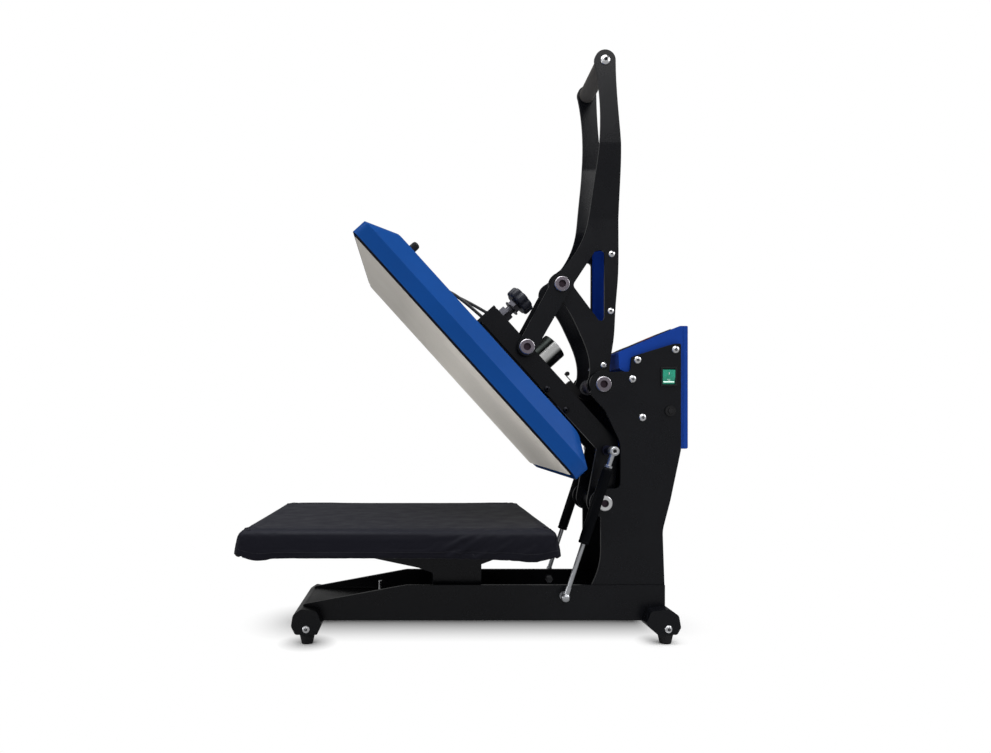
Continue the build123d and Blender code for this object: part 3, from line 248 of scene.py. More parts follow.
class Finish:
    """One finish: a Principled shader, with its patterns read from fixed coordinates or a UV map."""

    def __init__(self, name, colour, roughness, metallic=0.0, **sockets):
        self.material = bpy.data.materials.new(name)
        self.material.use_nodes = True
        self.tree = self.material.node_tree
        self.shader = self.tree.nodes["Principled BSDF"]
        self.colour = colour
        self.roughness = roughness
        self.shader.inputs["Base Color"].default_value = (*colour, 1.0)
        self.shader.inputs["Roughness"].default_value = roughness
        self.shader.inputs["Metallic"].default_value = metallic
        for label, value in sockets.items():
            self.shader.inputs[label.replace("_", " ")].default_value = value
        self.source = self.tree.nodes.new("ShaderNodeTexCoord").outputs["Object"]
        self.height = None

    def node(self, kind, given=None, **settings):
        return new_node(self.tree, kind, given, **settings)

    def stretch(self, scale, turn=(0, 0, 0)):
        """The coordinates scaled, and turned by degrees, for a directional pattern."""
        angles = tuple(math.radians(a) for a in turn)
        given = {"Vector": self.source, "Scale": scale, "Rotation": angles}
        return self.node("ShaderNodeMapping", given).outputs[0]

    def noise(self, scale, detail=3.0, rough=0.55, vector=None):
        given = {"Vector": vector or self.source, "Scale": scale, "Detail": detail, "Roughness": rough}
        return self.node("ShaderNodeTexNoise", given).outputs["Fac"]

    def cells(self, scale):
        given = {"Vector": self.source, "Scale": scale}
        return self.node("ShaderNodeTexVoronoi", given, feature="F1").outputs["Distance"]

    def wave(self, scale, vector=None, distortion=0.0, direction="X"):
        given = {"Vector": vector or self.source, "Scale": scale, "Distortion": distortion}
        return self.node("ShaderNodeTexWave", given, bands_direction=direction).outputs["Fac"]

    def ranged(self, value, low, high, to_low=0.0, to_high=1.0):
        return map_range(self.tree, value, low, high, to_low, to_high)

    def combined(self, operation, first, second):
        return arithmetic(self.tree, operation, first, second)

    def vectors(self, operation, *values):
        """Vector arithmetic, in which a length, distance or product comes back as one number."""
        made = self.node("ShaderNodeVectorMath", dict(enumerate(values)), operation=operation)
        number = operation in ("LENGTH", "DISTANCE", "DOT_PRODUCT")
        return made.outputs["Value" if number else "Vector"]

    def nearest(self, where, places):
        """How far a point lies from the nearest of some places."""
        least = None
        for place in places:
            gap = self.vectors("DISTANCE", where, place)
            least = gap if least is None else self.combined("MINIMUM", least, gap)
        return least

    def towards(self, way):
        """How far a face looks in a direction, from its fixed normal."""
        return self.vectors("DOT_PRODUCT", self.node("ShaderNodeTexCoord").outputs["Normal"], tuple(way))

    def tint(self, amount, other):
        """Mixes another colour into the base by a pattern."""
        mixer = self.node("ShaderNodeMix", data_type="RGBA")
        inputs = [s for s in mixer.inputs if s.type == "RGBA"]
        self.tree.links.new(amount, mixer.inputs["Factor"])
        base = self.shader.inputs["Base Color"]
        if base.is_linked:
            self.tree.links.new(base.links[0].from_socket, inputs[0])
        else:
            inputs[0].default_value = (*self.colour, 1.0)
        inputs[1].default_value = (*other, 1.0)
        out = [s for s in mixer.outputs if s.type == "RGBA"][0]
        self.tree.links.new(out, base)

    def stain(self, pattern, low, high, amount, other):
        """Mixes another colour in where a pattern runs high, up to a given amount."""
        self.tint(self.ranged(pattern, low, high, 0.0, amount), other)

    def glow(self, colour, strength):
        self.shader.inputs["Emission Color"].default_value = (*colour, 1.0)
        self.shader.inputs["Emission Strength"].default_value = strength

    def gloss(self, pattern, spread):
        """Roughness that wanders by a pattern, spread to each side."""
        value = self.ranged(pattern, 0.3, 0.7, self.roughness - spread, self.roughness + spread)
        self.tree.links.new(value, self.shader.inputs["Roughness"])

    def relief(self, pattern, depth, strength=1.0):
        """Fine height in metres, laid over what is there already."""
        given = {"Height": pattern, "Distance": depth, "Strength": strength}
        if self.height is not None:
            given["Normal"] = self.height
        self.height = self.node("ShaderNodeBump", given).outputs["Normal"]
        self.tree.links.new(self.height, self.shader.inputs["Normal"])


def powder_coat(name, colour, roughness=0.28):
    """Fine textured powder coat: tight grain, a slow orange peel and slightly uneven gloss."""
    coat = Finish(name, colour, roughness, Specular_IOR_Level=0.21)
    coat.relief(coat.cells(760.0), 0.08 * MM, 0.30)
    coat.relief(coat.noise(1500.0, 2.0), 0.06 * MM, 0.30)
    coat.relief(coat.noise(150.0, 2.0), 0.10 * MM, 0.20)
    coat.gloss(coat.noise(14.0, 4.0), 0.06)
    paler = tuple(c * 1.6 + 0.002 for c in colour)
    coat.stain(coat.noise(7.0, 5.0, 0.65), 0.42, 0.85, 0.35, paler)
    return coat.material


def satin_paint(name, colour, roughness=0.36, level=0.08):
    """Smooth satin enamel on sheet metal."""
    paint = Finish(name, colour, roughness, Specular_IOR_Level=level)
    paint.relief(paint.noise(190.0, 2.0), 0.10 * MM, 0.22)
    paint.relief(paint.noise(1100.0, 2.0), 0.04 * MM, 0.30)
    paint.gloss(paint.noise(11.0, 4.0), 0.05)
    deeper = tuple(c * 0.72 for c in colour)
    paint.stain(paint.noise(5.0, 4.0), 0.38, 0.75, 0.5, deeper)
    return paint


def cover_paint():
    """The platen cover's enamel, with painted shade on the faces that look down at the hot plate."""
    paint = satin_paint("cover_blue", linear(13, 62, 127), 0.40, 0.06)
    # Painted shade: faces that look down at the plate are darkened
    paint.tint(paint.ranged(paint.towards(PLATEN_DOWN), 0.3, 0.6), linear(7, 10, 22))
    return paint.material


def matt_blue():
    paint = Finish("brace_blue", linear(16, 44, 118), 0.6, Specular_IOR_Level=0.0)
    paint.relief(paint.noise(190.0, 2.0), 0.10 * MM, 0.22)
    paint.gloss(paint.noise(11.0, 4.0), 0.06)
    paint.stain(paint.noise(9.0, 4.0), 0.38, 0.75, 0.5, linear(12, 34, 98))
    return paint.material


def plated(name, colour, roughness, stain, scratch=(3.0, 900.0, 900.0)):
    """Plated or polished steel with faint drawing lines and cloudy stains."""
    steel = Finish(name, colour, roughness, 1.0)
    steel.gloss(steel.noise(45.0, 4.0), roughness * 0.35)
    steel.relief(steel.noise(1.0, 2.0, 0.5, steel.stretch(scratch)), 0.015 * MM, 0.4)
    steel.stain(steel.noise(60.0, 5.0, 0.7), 0.5, 0.8, 0.6, stain)
    return steel.material


def moulded(name, colour, roughness, grain=0.05):
    """Moulded plastic or rubber with a fine spark-eroded grain."""
    plastic = Finish(name, colour, roughness, Specular_IOR_Level=0.2)
    plastic.relief(plastic.noise(900.0, 3.0), grain * MM, 0.5)
    plastic.gloss(plastic.noise(25.0, 4.0), 0.05)
    lighter = tuple(c * 1.6 + 0.006 for c in colour)
    plastic.stain(plastic.noise(30.0, 5.0, 0.7), 0.55, 0.85, 0.4, lighter)
    return plastic.material


# Pin ends, as (y, z) of their axes in millimetres
PIN_AXES = [(229.1, 442.8), (230.9, 236.9), (159.4, 618.0), (98.6, 508.6)]


def pin_steel():
    """Zinc plated pin ends: dull face, a lighter rim, and painted shade in the socket and on pins away from
    the listed axes.
    """
    pin = Finish("pivot_steel", linear(130, 123, 132), 0.42, 1.0)
    flat = pin.vectors("MULTIPLY", pin.source, (0, 1, 1))
    nearest = pin.nearest(flat, [(0, y * MM, z * MM) for y, z in PIN_AXES])
    pin.gloss(pin.noise(45.0, 4.0), 0.12)
    pin.relief(pin.wave(420.0, nearest, direction="X"), 0.01 * MM, 0.3)
    pin.stain(pin.noise(90.0, 5.0, 0.7), 0.45, 0.8, 0.6, linear(98, 88, 96))
    arm_gap = pin.vectors("DISTANCE", flat, (0, ARM_PIVOT.y, ARM_PIVOT.z))
    pin.tint(pin.ranged(arm_gap, 15.0 * MM, 14.0 * MM), linear(232, 232, 234))
    pin.tint(pin.ranged(nearest, 11.7 * MM, 12.6 * MM), linear(205, 203, 207))
    # Painted shade inside the socket
    pin.tint(pin.ranged(nearest, 6.9 * MM, 6.2 * MM), linear(62, 52, 60))
    # Painted shade on pins that lie away from the listed axes
    pin.tint(pin.ranged(nearest, 24.0 * MM, 34.0 * MM), linear(46, 48, 66))
    return pin.material


def magnet_steel():
    """Turned steel pot, bright, with painted shade in dark bands on the sides that face along the arm."""
    steel = Finish("magnet_steel", linear(226, 227, 226), 0.32, 1.0)
    low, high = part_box("holding_magnet")
    middle = (low + high) / 2
    offset = steel.vectors("SUBTRACT", steel.source, tuple(middle))
    along = steel.vectors("DOT_PRODUCT", offset, tuple(PLATEN_ALONG))
    steel.gloss(steel.noise(45.0, 4.0), 0.10)
    steel.relief(steel.noise(1.0, 2.0, 0.5, steel.stretch((900.0, 3.0, 900.0))), 0.015 * MM, 0.4)
    # Painted shade: dark bands on the two sides of the pot that face along the arm
    steel.tint(steel.ranged(along, 5.0 * MM, 13.0 * MM), linear(58, 62, 60))
    steel.tint(steel.ranged(along, -5.5 * MM, -8.0 * MM), linear(44, 48, 46))
    return steel.material


def coated_plate():
    """Non-stick coating: pale and speckled, with rubbed streaks; painted shade darkens it to the front and
    on its edges.
    """
    plate = Finish("plate_coating", linear(222, 217, 208), 0.46, Specular_IOR_Level=0.25)
    plate.relief(plate.noise(1300.0, 2.0), 0.03 * MM, 0.4)
    plate.gloss(plate.noise(9.0, 4.0), 0.07)
    plate.stain(plate.noise(520.0, 2.0), 0.62, 0.72, 0.35, linear(120, 116, 110))
    streaks = plate.noise(1.0, 4.0, 0.6, plate.stretch((60.0, 7.0, 7.0)))
    plate.stain(streaks, 0.5, 0.8, 0.35, linear(205, 201, 193))
    along = plate.node("ShaderNodeSeparateXYZ", {0: plate.source}).outputs["Y"]
    # Painted shade: darker towards the front of the plate
    plate.tint(plate.ranged(along, -0.02, -0.12), linear(178, 174, 167))
    # Painted shade: rim faces that don't look down go dark
    plate.tint(plate.ranged(plate.towards(PLATEN_DOWN), 0.75, 0.6), linear(20, 20, 21))
    return plate.material


def nylon_cloth():
    """Black coated nylon: a plain weave along the cut, slubs, a thin film's sheen, and painted shade on its
    sides.
    """
    cloth = Finish("bed_cloth", linear(29, 30, 38), 0.50, Specular_IOR_Level=0.09, Sheen_Weight=0.01,
                   Sheen_Roughness=0.45)
    cloth.source = cloth.node("ShaderNodeUVMap", uv_map="cut").outputs[0]
    thread = math.pi / (10 * 0.55 * MM)
    warp = cloth.wave(thread, direction="X")
    weft = cloth.wave(thread, direction="Y")
    cloth.relief(cloth.combined("MAXIMUM", warp, weft), 0.06 * MM, 0.35)
    cloth.relief(cloth.noise(60.0, 4.0), 0.5 * MM, 0.25)
    cloth.gloss(cloth.noise(30.0, 3.0), 0.06)
    slubs = cloth.noise(1.0, 3.0, 0.6, cloth.stretch((40.0, 900.0, 1.0)))
    cloth.stain(slubs, 0.5, 0.75, 0.30, linear(38, 38, 46))
    cloth.stain(cloth.noise(12.0, 4.0), 0.4, 0.8, 0.30, linear(35, 35, 43))
    # Painted shade: the cover's sides, away from the top, go darker
    cloth.stain(cloth.towards((0, 0, 1)), 0.85, 0.35, 0.85, linear(10, 10, 19))
    return cloth.material


def silicone():
    pad = Finish("pad_silicone", linear(196, 92, 46), 0.5)
    pad.relief(pad.cells(420.0), 0.12 * MM, 0.4)
    pad.stain(pad.noise(40.0, 4.0), 0.4, 0.8, 0.4, linear(160, 70, 34))
    return pad.material


def bare_aluminium():
    sheet = Finish("plate_aluminium", linear(176, 178, 181), 0.42, 1.0)
    sheet.relief(sheet.noise(1.0, 3.0, 0.6, sheet.stretch((1400.0, 12.0, 12.0))), 0.02 * MM, 0.5)
    sheet.gloss(sheet.noise(18.0, 4.0), 0.08)
    sheet.stain(sheet.noise(24.0, 5.0), 0.5, 0.8, 0.5, linear(140, 142, 145))
    return sheet.material


def ceramic_blanket():
    wool = Finish("blanket_fibre", linear(226, 222, 210), 0.9)
    wool.relief(wool.noise(1.0, 4.0, 0.7, wool.stretch((180.0, 1200.0, 700.0))), 0.5 * MM, 0.6)
    wool.stain(wool.noise(55.0, 5.0), 0.4, 0.8, 0.5, linear(196, 190, 172))
    return wool.material


def braided_sleeve():
    """Black glass-fibre sleeving: two crossed lays of yarn."""
    sleeve = Finish("lead_sleeve", linear(30, 30, 32), 0.62, Sheen_Weight=0.2)
    one = sleeve.wave(260.0, sleeve.stretch((1, 1, 1), (0, 35, 0)), direction="DIAGONAL")
    two = sleeve.wave(260.0, sleeve.stretch((-1, 1, 1), (0, 35, 0)), direction="DIAGONAL")
    sleeve.relief(sleeve.combined("MAXIMUM", one, two), 0.25 * MM, 0.7)
    sleeve.stain(sleeve.combined("MULTIPLY", one, two), 0.2, 0.8, 0.5, linear(62, 62, 66))
    return sleeve.material


def smoked_glass():
    glass = Finish("display_glass", linear(14, 15, 17), 0.08, Specular_IOR_Level=0.6, Coat_Weight=0.6,
                   Coat_Roughness=0.05)
    glass.gloss(glass.noise(40.0, 3.0), 0.03)
    glass.stain(glass.noise(300.0, 3.0), 0.6, 0.8, 0.3, linear(30, 32, 36))
    return glass.material


def circuit_board():
    board = Finish("board_green", linear(24, 92, 52), 0.35, Specular_IOR_Level=0.5)
    tracks = board.wave(420.0, distortion=6.0)
    board.stain(tracks, 0.55, 0.6, 0.8, linear(44, 130, 76))
    board.relief(tracks, 0.05 * MM, 0.4)
    return board.material


def lit_rocker():
    """Clear green moulding with the lamp behind it."""
    key = Finish("rocker_green", linear(14, 122, 96), 0.22, Specular_IOR_Level=0.55, Coat_Weight=0.4,
                 Coat_Roughness=0.08)
    key.glow(linear(34, 156, 128), 0.22)
    key.stain(key.noise(160.0, 3.0), 0.45, 0.7, 0.6, linear(8, 88, 72))
    key.relief(key.wave(330.0, direction="Z"), 0.08 * MM, 0.25)
    return key.material


def lamp_bar():
    lamp = Finish("lamp_bar", linear(214, 240, 228), 0.3)
    lamp.glow(linear(220, 255, 240), 0.6)
    lamp.relief(lamp.noise(700.0), 0.04 * MM, 0.4)
    return lamp.material


def lit_segment():
    lamp = Finish("display_segment", linear(150, 26, 18), 0.3)
    lamp.glow(linear(255, 52, 30), 0.35)
    lamp.relief(lamp.noise(900.0), 0.03 * MM, 0.4)
    return lamp.material


FRAME_BLACK = linear(10, 11, 15)
DEEP_BLUE = linear(20, 57, 138)
FINISHES = {
    "frame_black": powder_coat("frame_black", FRAME_BLACK),
    "foot_rubber": moulded("foot_rubber", linear(24, 24, 26), 0.78, 0.12),
    "zinc_screw": plated("zinc_screw", linear(222, 223, 226), 0.30, linear(170, 168, 160)),
    "pivot_steel": pin_steel(),
    "plated_steel": plated("plated_steel", linear(196, 198, 202), 0.34, linear(150, 152, 156)),
    "housing_blue": satin_paint("housing_blue", DEEP_BLUE).material,
    "brace_blue": matt_blue(),
    "cover_blue": cover_paint(),
    "fascia_film": moulded("fascia_film", linear(36, 38, 42), 0.42, 0.03),
    "display_glass": smoked_glass(),
    "board_green": circuit_board(),
    "socket_plastic": moulded("socket_plastic", linear(22, 22, 24), 0.38, 0.03),
    "plate_aluminium": bare_aluminium(),
    "pad_silicone": silicone(),
    "bed_cloth": nylon_cloth(),
    "oxide_steel": plated("oxide_steel", linear(74, 74, 80), 0.34, linear(44, 42, 46)),
    "bush_grey": moulded("bush_grey", linear(92, 92, 96), 0.55, 0.04),
    "grip_rubber": moulded("grip_rubber", linear(66, 64, 62), 0.72, 0.14),
    "plate_coating": coated_plate(),
    "element_steel": plated("element_steel", linear(150, 146, 140), 0.38, linear(110, 98, 88)),
    "blanket_fibre": ceramic_blanket(),
    "lead_sleeve": braided_sleeve(),
    "knob_plastic": moulded("knob_plastic", linear(34, 36, 44), 0.30, 0.02),
    "tube_black": satin_paint("tube_black", linear(8, 9, 12), 0.34, 0.03).material,
    "rocker_green": lit_rocker(),
    "breaker_plastic": moulded("breaker_plastic", linear(26, 26, 28), 0.34, 0.02),
}
LAMP_BAR = lamp_bar()
LIT_SEGMENT = lit_segment()
PRINT_WHITE = moulded("print_white", linear(222, 224, 222), 0.5, 0.02)
THREAD = moulded("stitch_thread", linear(40, 40, 46), 0.6, 0.05)
# Painted shade: a dark finish for the faces inside screw sockets and the centres of the spring caps
SOCKET_SHADE = moulded("socket_grime", linear(16, 15, 16), 0.7, 0.05)
BLACK_OXIDE = plated("black_oxide", linear(40, 40, 44), 0.38, linear(28, 28, 30))


def dress_nodes():
    """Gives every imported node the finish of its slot."""
    slots = {entry["node"]: entry["material_slot"] for entry in frame["record"]["subparts"]}
    for name, node in NODES.items():
        finish = FINISHES[slots[name]]
        if not node.material_slots:
            node.data.materials.append(finish)
        for place in node.material_slots:
            place.link = "OBJECT"
            place.material = finish
    for place in NODES["holding_magnet"].material_slots:
        place.material = magnet_steel()


# Rounded edges on the sheet metal


# Corners this close are one corner
WELD_GAP = 0.002 * MM


def round_edges(name, width):
    """Breaks a node's sharp edges, as tumbling and paint do on the real sheet."""
    node = NODES[name]
    weld = node.modifiers.new("weld", "WELD")
    weld.merge_threshold = WELD_GAP
    flat = node.modifiers.new("flat", "DECIMATE")
    flat.decimate_type = "DISSOLVE"
    flat.angle_limit = math.radians(0.25)
    edge = node.modifiers.new("edge", "BEVEL")
    edge.width = width
    edge.segments = 2
    edge.limit_method = "ANGLE"
    edge.angle_limit = math.radians(38)
    edge.miter_outer = "MITER_ARC"
    edge.use_clamp_overlap = True
    even = node.modifiers.new("even", "WEIGHTED_NORMAL")
    even.keep_sharp = True


# How wide each node's edges are broken, in millimetres
SHEET_EDGES = {
    "base_rails": 0.5, "base_floor_plate": 0.4, "front_foot_bar": 0.8, "rear_foot_bar": 0.8,
    "column_plate_right": 0.35, "column_plate_left": 0.35, "column_back_plate": 0.4, "bed_pedestal": 0.8,
    "bed_bracket": 0.5, "control_housing": 0.8, "arm_plates": 0.35, "arm_bridge": 0.4,
    "handle_plate_right": 0.35, "handle_plate_left": 0.35, "handle_brace": 0.8, "link_plates": 0.35,
    "platen_cover": 1.6, "platen_mount": 0.5, "heating_plate": 0.5, "rubber_feet": 0.8,
    "pivot_shafts": 0.5, "link_pins": 0.5, "link_shaft": 0.5, "holding_magnet": 0.4,
    "gas_head_right": 0.8, "gas_head_left": 0.8, "rocker_frame": 0.4, "breaker_button": 0.3,
    "power_inlet": 0.4, "limit_switch": 0.3,
}


# Geometry node trees


class Tree:
    """A geometry node tree with named inputs for its sizes."""

    def __init__(self, name, *sizes):
        self.tree = bpy.data.node_groups.new(name, "GeometryNodeTree")
        sockets = self.tree.interface
        sockets.new_socket("Geometry", in_out="INPUT", socket_type="NodeSocketGeometry")
        self.ids = {}
        kinds = {"Seed": "NodeSocketInt", "Finish": "NodeSocketMaterial"}
        for label in (*sizes, "Finish"):
            kind = kinds.get(label, "NodeSocketFloat")
            self.ids[label] = sockets.new_socket(label, in_out="INPUT", socket_type=kind).identifier
        sockets.new_socket("Geometry", in_out="OUTPUT", socket_type="NodeSocketGeometry")
        self.given = self.tree.nodes.new("NodeGroupInput")
        self.result = self.tree.nodes.new("NodeGroupOutput")

    def size(self, label):
        return self.given.outputs[label]

    def add(self, kind, given=None, out=0, **settings):
        return new_node(self.tree, kind, given, **settings).outputs[out]

    def calc(self, operation, first, second):
        return arithmetic(self.tree, operation, first, second)

    def vector(self, x, y, z):
        return self.add("ShaderNodeCombineXYZ", {"X": x, "Y": y, "Z": z})

    def turned(self, splines, segments):
        """Turns profile splines, drawn as (radius, -height), round local Z."""
        hub = 1.0 * MM
        circle = self.add("GeometryNodeCurvePrimitiveCircle", {"Resolution": segments, "Radius": hub})
        profile = self.add("GeometryNodeJoinGeometry", {"Geometry": splines})
        shifted = self.add("GeometryNodeTransform", {"Geometry": profile, "Translation": (-hub, 0, 0)})
        skin = self.add("GeometryNodeCurveToMesh", {"Curve": circle, "Profile Curve": shifted})
        return self.add("GeometryNodeMergeByDistance", {"Geometry": skin, "Distance": WELD_GAP})

    def spline(self, start, end):
        """A straight profile stretch between two (radius, height) pairs."""
        ends = []
        for radius, height in (start, end):
            ends.append(self.vector(radius, self.calc("MULTIPLY", height, -1.0), 0.0))
        return self.add("GeometryNodeCurvePrimitiveLine", {"Start": ends[0], "End": ends[1]})

    def finish(self, geometry):
        real = self.add("GeometryNodeRealizeInstances", {"Geometry": geometry})
        painted = self.add("GeometryNodeSetMaterial", {"Geometry": real, "Material": self.size("Finish")})
        self.tree.links.new(painted, self.result.inputs[0])

    def grow(self, seats, values):
        """Runs the tree on a mesh and gives back the plain mesh that it makes."""
        holder = link_up("seats", seats)
        modifier = holder.modifiers.new("grow", "NODES")
        modifier.node_group = self.tree
        for label, value in values.items():
            modifier[self.ids[label]] = value
        graph = bpy.context.evaluated_depsgraph_get()
        mesh = bpy.data.meshes.new_from_object(holder.evaluated_get(graph), depsgraph=graph)
        bpy.data.objects.remove(holder)
        outward(mesh)
        smooth(mesh)
        return mesh


def seat_mesh(seats):
    """Points that carry the direction each copy faces."""
    mesh = bpy.data.meshes.new("seats")
    mesh.from_pydata([tuple(point) for point, way in seats], [], [])
    ways = mesh.attributes.new("facing", "FLOAT_VECTOR", "POINT")
    for i, (point, way) in enumerate(seats):
        ways.data[i].vector = Vector(way).normalized()
    return mesh


def on_seats(tree, template):
    """Copies a template to every seat, turned the way that the seat faces."""
    way = tree.add("GeometryNodeInputNamedAttribute", {"Name": "facing"}, data_type="FLOAT_VECTOR")
    turn = tree.add("FunctionNodeAlignRotationToVector", {"Vector": way}, axis="Z")
    points = tree.add("GeometryNodeMeshToPoints", {"Mesh": tree.given.outputs["Geometry"]})
    given = {"Points": points, "Instance": template, "Rotation": turn}
    return tree.add("GeometryNodeInstanceOnPoints", given)


def button_screw_tree():
    """Domed socket screws: head, hexagon socket and shank."""
    tree = Tree("button_screws", "Head Radius", "Head Height", "Socket Width", "Shank Radius",
                "Shank Length")
    radius, height = tree.size("Head Radius"), tree.size("Head Height")
    shank, length = tree.size("Shank Radius"), tree.size("Shank Length")
    crown_angle = math.radians(76)
    arc = tree.add("GeometryNodeCurveArc", {
        "Resolution": 8, "Radius": 1.0, "Start Angle": 0.0, "Sweep Angle": crown_angle}, mode="RADIUS")
    stretch = tree.vector(radius, tree.calc("MULTIPLY", height, -1.0), 1.0)
    dome = tree.add("GeometryNodeTransform", {"Geometry": arc, "Scale": stretch})
    crown = (tree.calc("MULTIPLY", radius, math.cos(crown_angle)),
             tree.calc("MULTIPLY", height, math.sin(crown_angle)))
    tip = tree.calc("MULTIPLY", length, -1.0)
    splines = [
        dome,
        tree.spline(crown, (0.0, crown[1])),
        tree.spline((radius, 0.0), (shank, 0.0)),
        tree.spline((shank, 0.0), (shank, tip)),
        tree.spline((shank, tip), (0.0, tip)),
    ]
    solid = tree.turned(splines, 36)
    corner = tree.calc("MULTIPLY", tree.size("Socket Width"), 1 / math.sqrt(3))
    prism = tree.add("GeometryNodeMeshCylinder", {
        "Vertices": 6, "Radius": corner, "Depth": tree.calc("MULTIPLY", height, 1.4)})
    lift = tree.vector(0.0, 0.0, tree.calc("MULTIPLY", height, 0.95))
    cutter = tree.add("GeometryNodeTransform", {"Geometry": prism, "Translation": lift})
    given = {"Mesh 1": solid, "Mesh 2": cutter}
    screw = tree.add("GeometryNodeMeshBoolean", given, operation="DIFFERENCE", solver="EXACT")
    tree.finish(on_seats(tree, screw))
    return tree


def hex_bolt_tree():
    """Hexagon bolts or nuts: chamfered head, washer and shank through it."""
    tree = Tree("hex_bolts", "Width", "Height", "Washer Radius", "Shank Radius", "Shank Above",
                "Shank Below")
    washer_thick = 1.2 * MM
    height = tree.size("Height")
    corner = tree.calc("MULTIPLY", tree.size("Width"), 1 / math.sqrt(3))
    prism = tree.add("GeometryNodeMeshCylinder", {"Vertices": 6, "Radius": corner, "Depth": height})
    bell = tree.add("GeometryNodeMeshCone", {
        "Vertices": 36, "Radius Bottom": tree.calc("MULTIPLY", corner, 1.6),
        "Radius Top": tree.calc("MULTIPLY", corner, 0.86), "Depth": height})
    bell_low = tree.vector(0.0, 0.0, tree.calc("MULTIPLY", height, -0.5))
    bell_set = tree.add("GeometryNodeTransform", {"Geometry": bell, "Translation": bell_low})
    given = {"Mesh 2": [prism, bell_set]}
    nut = tree.add("GeometryNodeMeshBoolean", given, operation="INTERSECT", solver="EXACT")
    lift = tree.vector(0.0, 0.0, tree.calc("ADD", tree.calc("MULTIPLY", height, 0.5), washer_thick))
    head = tree.add("GeometryNodeTransform", {"Geometry": nut, "Translation": lift})
    disc = tree.add("GeometryNodeMeshCylinder", {
        "Vertices": 32, "Radius": tree.size("Washer Radius"), "Depth": washer_thick})
    washer = tree.add("GeometryNodeTransform", {"Geometry": disc, "Translation": (0, 0, washer_thick / 2)})
    above, below = tree.size("Shank Above"), tree.size("Shank Below")
    rod = tree.add("GeometryNodeMeshCylinder", {
        "Vertices": 24, "Radius": tree.size("Shank Radius"), "Depth": tree.calc("ADD", above, below)})
    middle = tree.vector(0.0, 0.0, tree.calc("MULTIPLY", tree.calc("SUBTRACT", above, below), 0.5))
    shank = tree.add("GeometryNodeTransform", {"Geometry": rod, "Translation": middle})
    bolt = tree.add("GeometryNodeJoinGeometry", {"Geometry": [head, washer, shank]})
    tree.finish(on_seats(tree, bolt))
    return tree


def bead_tree():
    """Short beads laid end to end along a line: stitches, or the ripples of a weld."""
    tree = Tree("beads_along_line", "Spacing", "Length", "Width", "Jitter", "Seed")
    curve = tree.add("GeometryNodeMeshToCurve", {"Mesh": tree.given.outputs["Geometry"]})
    given = {"Curve": curve, "Length": tree.size("Spacing")}
    spaced = new_node(tree.tree, "GeometryNodeCurveToPoints", given, mode="LENGTH").outputs
    turn = tree.add("FunctionNodeAlignRotationToVector", {"Vector": spaced["Tangent"]}, axis="X")
    ball = tree.add("GeometryNodeMeshUVSphere", {"Segments": 6, "Rings": 4, "Radius": 0.5})
    shape = tree.vector(tree.size("Length"), tree.size("Width"), tree.size("Width"))
    bead = tree.add("GeometryNodeTransform", {"Geometry": ball, "Scale": shape})
    jitter = tree.size("Jitter")
    low, high = 2, 3
    uneven = tree.add("FunctionNodeRandomValue", {
        low: tree.calc("SUBTRACT", 1.0, jitter), high: tree.calc("ADD", 1.0, jitter),
        "Seed": tree.size("Seed")}, out=1, data_type="FLOAT")
    tree.finish(tree.add("GeometryNodeInstanceOnPoints", {
        "Points": spaced["Points"], "Instance": bead, "Rotation": turn, "Scale": uneven}))
    return tree


BUTTON_SCREW = button_screw_tree()
HEX_BOLT = hex_bolt_tree()
BEADS = bead_tree()


# Fasteners

# Places of the button screws as (y, z) in millimetres, and the x of the two faces they sit on
COLUMN_FACE = 70 * MM
COLUMN_SCREWS = [(288.1, 484.5), (353.8, 502.5), (279.5, 451.7), (296.8, 385.1)]
FOOT_END = 100 * MM
FOOT_BOLTS = [(-280.5, 27.5), (331.0, 27.5)]
HANDLE_LOW_FACE = 52 * MM
BRACE_SCREWS = [(248.2, 672.0), (246.5, 572.0), (234.2, 476.9)]
GRIP_FACE = 69 * MM
GRIP_SCREWS = [(232.5, 1003.9)]
ARM_FACE = 44 * MM
ARM_BOLTS_TH = [(389.0, 89.0), (439.0, 89.0)]
# Places of the upright bolts in millimetres
FOOT_XY = [(x, y) for y, z in FOOT_BOLTS for x in (-84, 84)]
FOOT_NUT_Z = 21
FOOT_HEAD_Z = 6
BED_BOLTS = [(x, y, 160) for x in (-80, 80) for y in (-165, 57)]
FLOOR_STUD = (0, -160, 61)
# Screws: head radius, head height, socket width, shank radius and shank length, in millimetres
COLUMN_SCREW = (6.5, 3.4, 5.0, 3.0, 11.5)
FOOT_END_SCREW = (6.6, 3.6, 5.0, 3.2, 9.5)
FOOT_PAD_SCREW = (6.2, 3.6, 4.0, 3.7, 14)
GRIP_SCREW = (8.6, 4.6, 6.0, 3.9, 27)
BRACE_SCREW = (5.8, 3.0, 4.0, 2.95, 10.5)
LOW_BRACE_SCREW = (5.8, 3.0, 4.0, 2.95, 5.5)
ARM_SCREW = (5.8, 3.0, 4.0, 2.95, 12)
# Nuts and bolts: width, height, washer radius, shank radius, shank above and below, in millimetres
FOOT_NUT = (12, 4.6, 7.4, 3.8, 7.5, 2)
BED_BOLT = (13, 5, 8.5, 3.9, 4, 12)
STUD_NUT = (10.4, 5, 7.5, 3.1, 27.5, 3)
# The share of a head's height that counts as its socket, and how far out the socket reaches
SOCKET_DEPTH = (0.05, 0.97)
SOCKET_REACH = 0.56


def platen_point(x, t, h):
    """A place in the platen's own frame, in metres."""
    return PLATEN_AT @ Vector((x, t, h))


def both_sides(face, places):
    """Seats at the same places on the left and right faces."""
    seats = []
    for y, z in places:
        for side in (1, -1):
            seats.append((Vector((side * face, y * MM, z * MM)), (side, 0, 0)))
    return seats


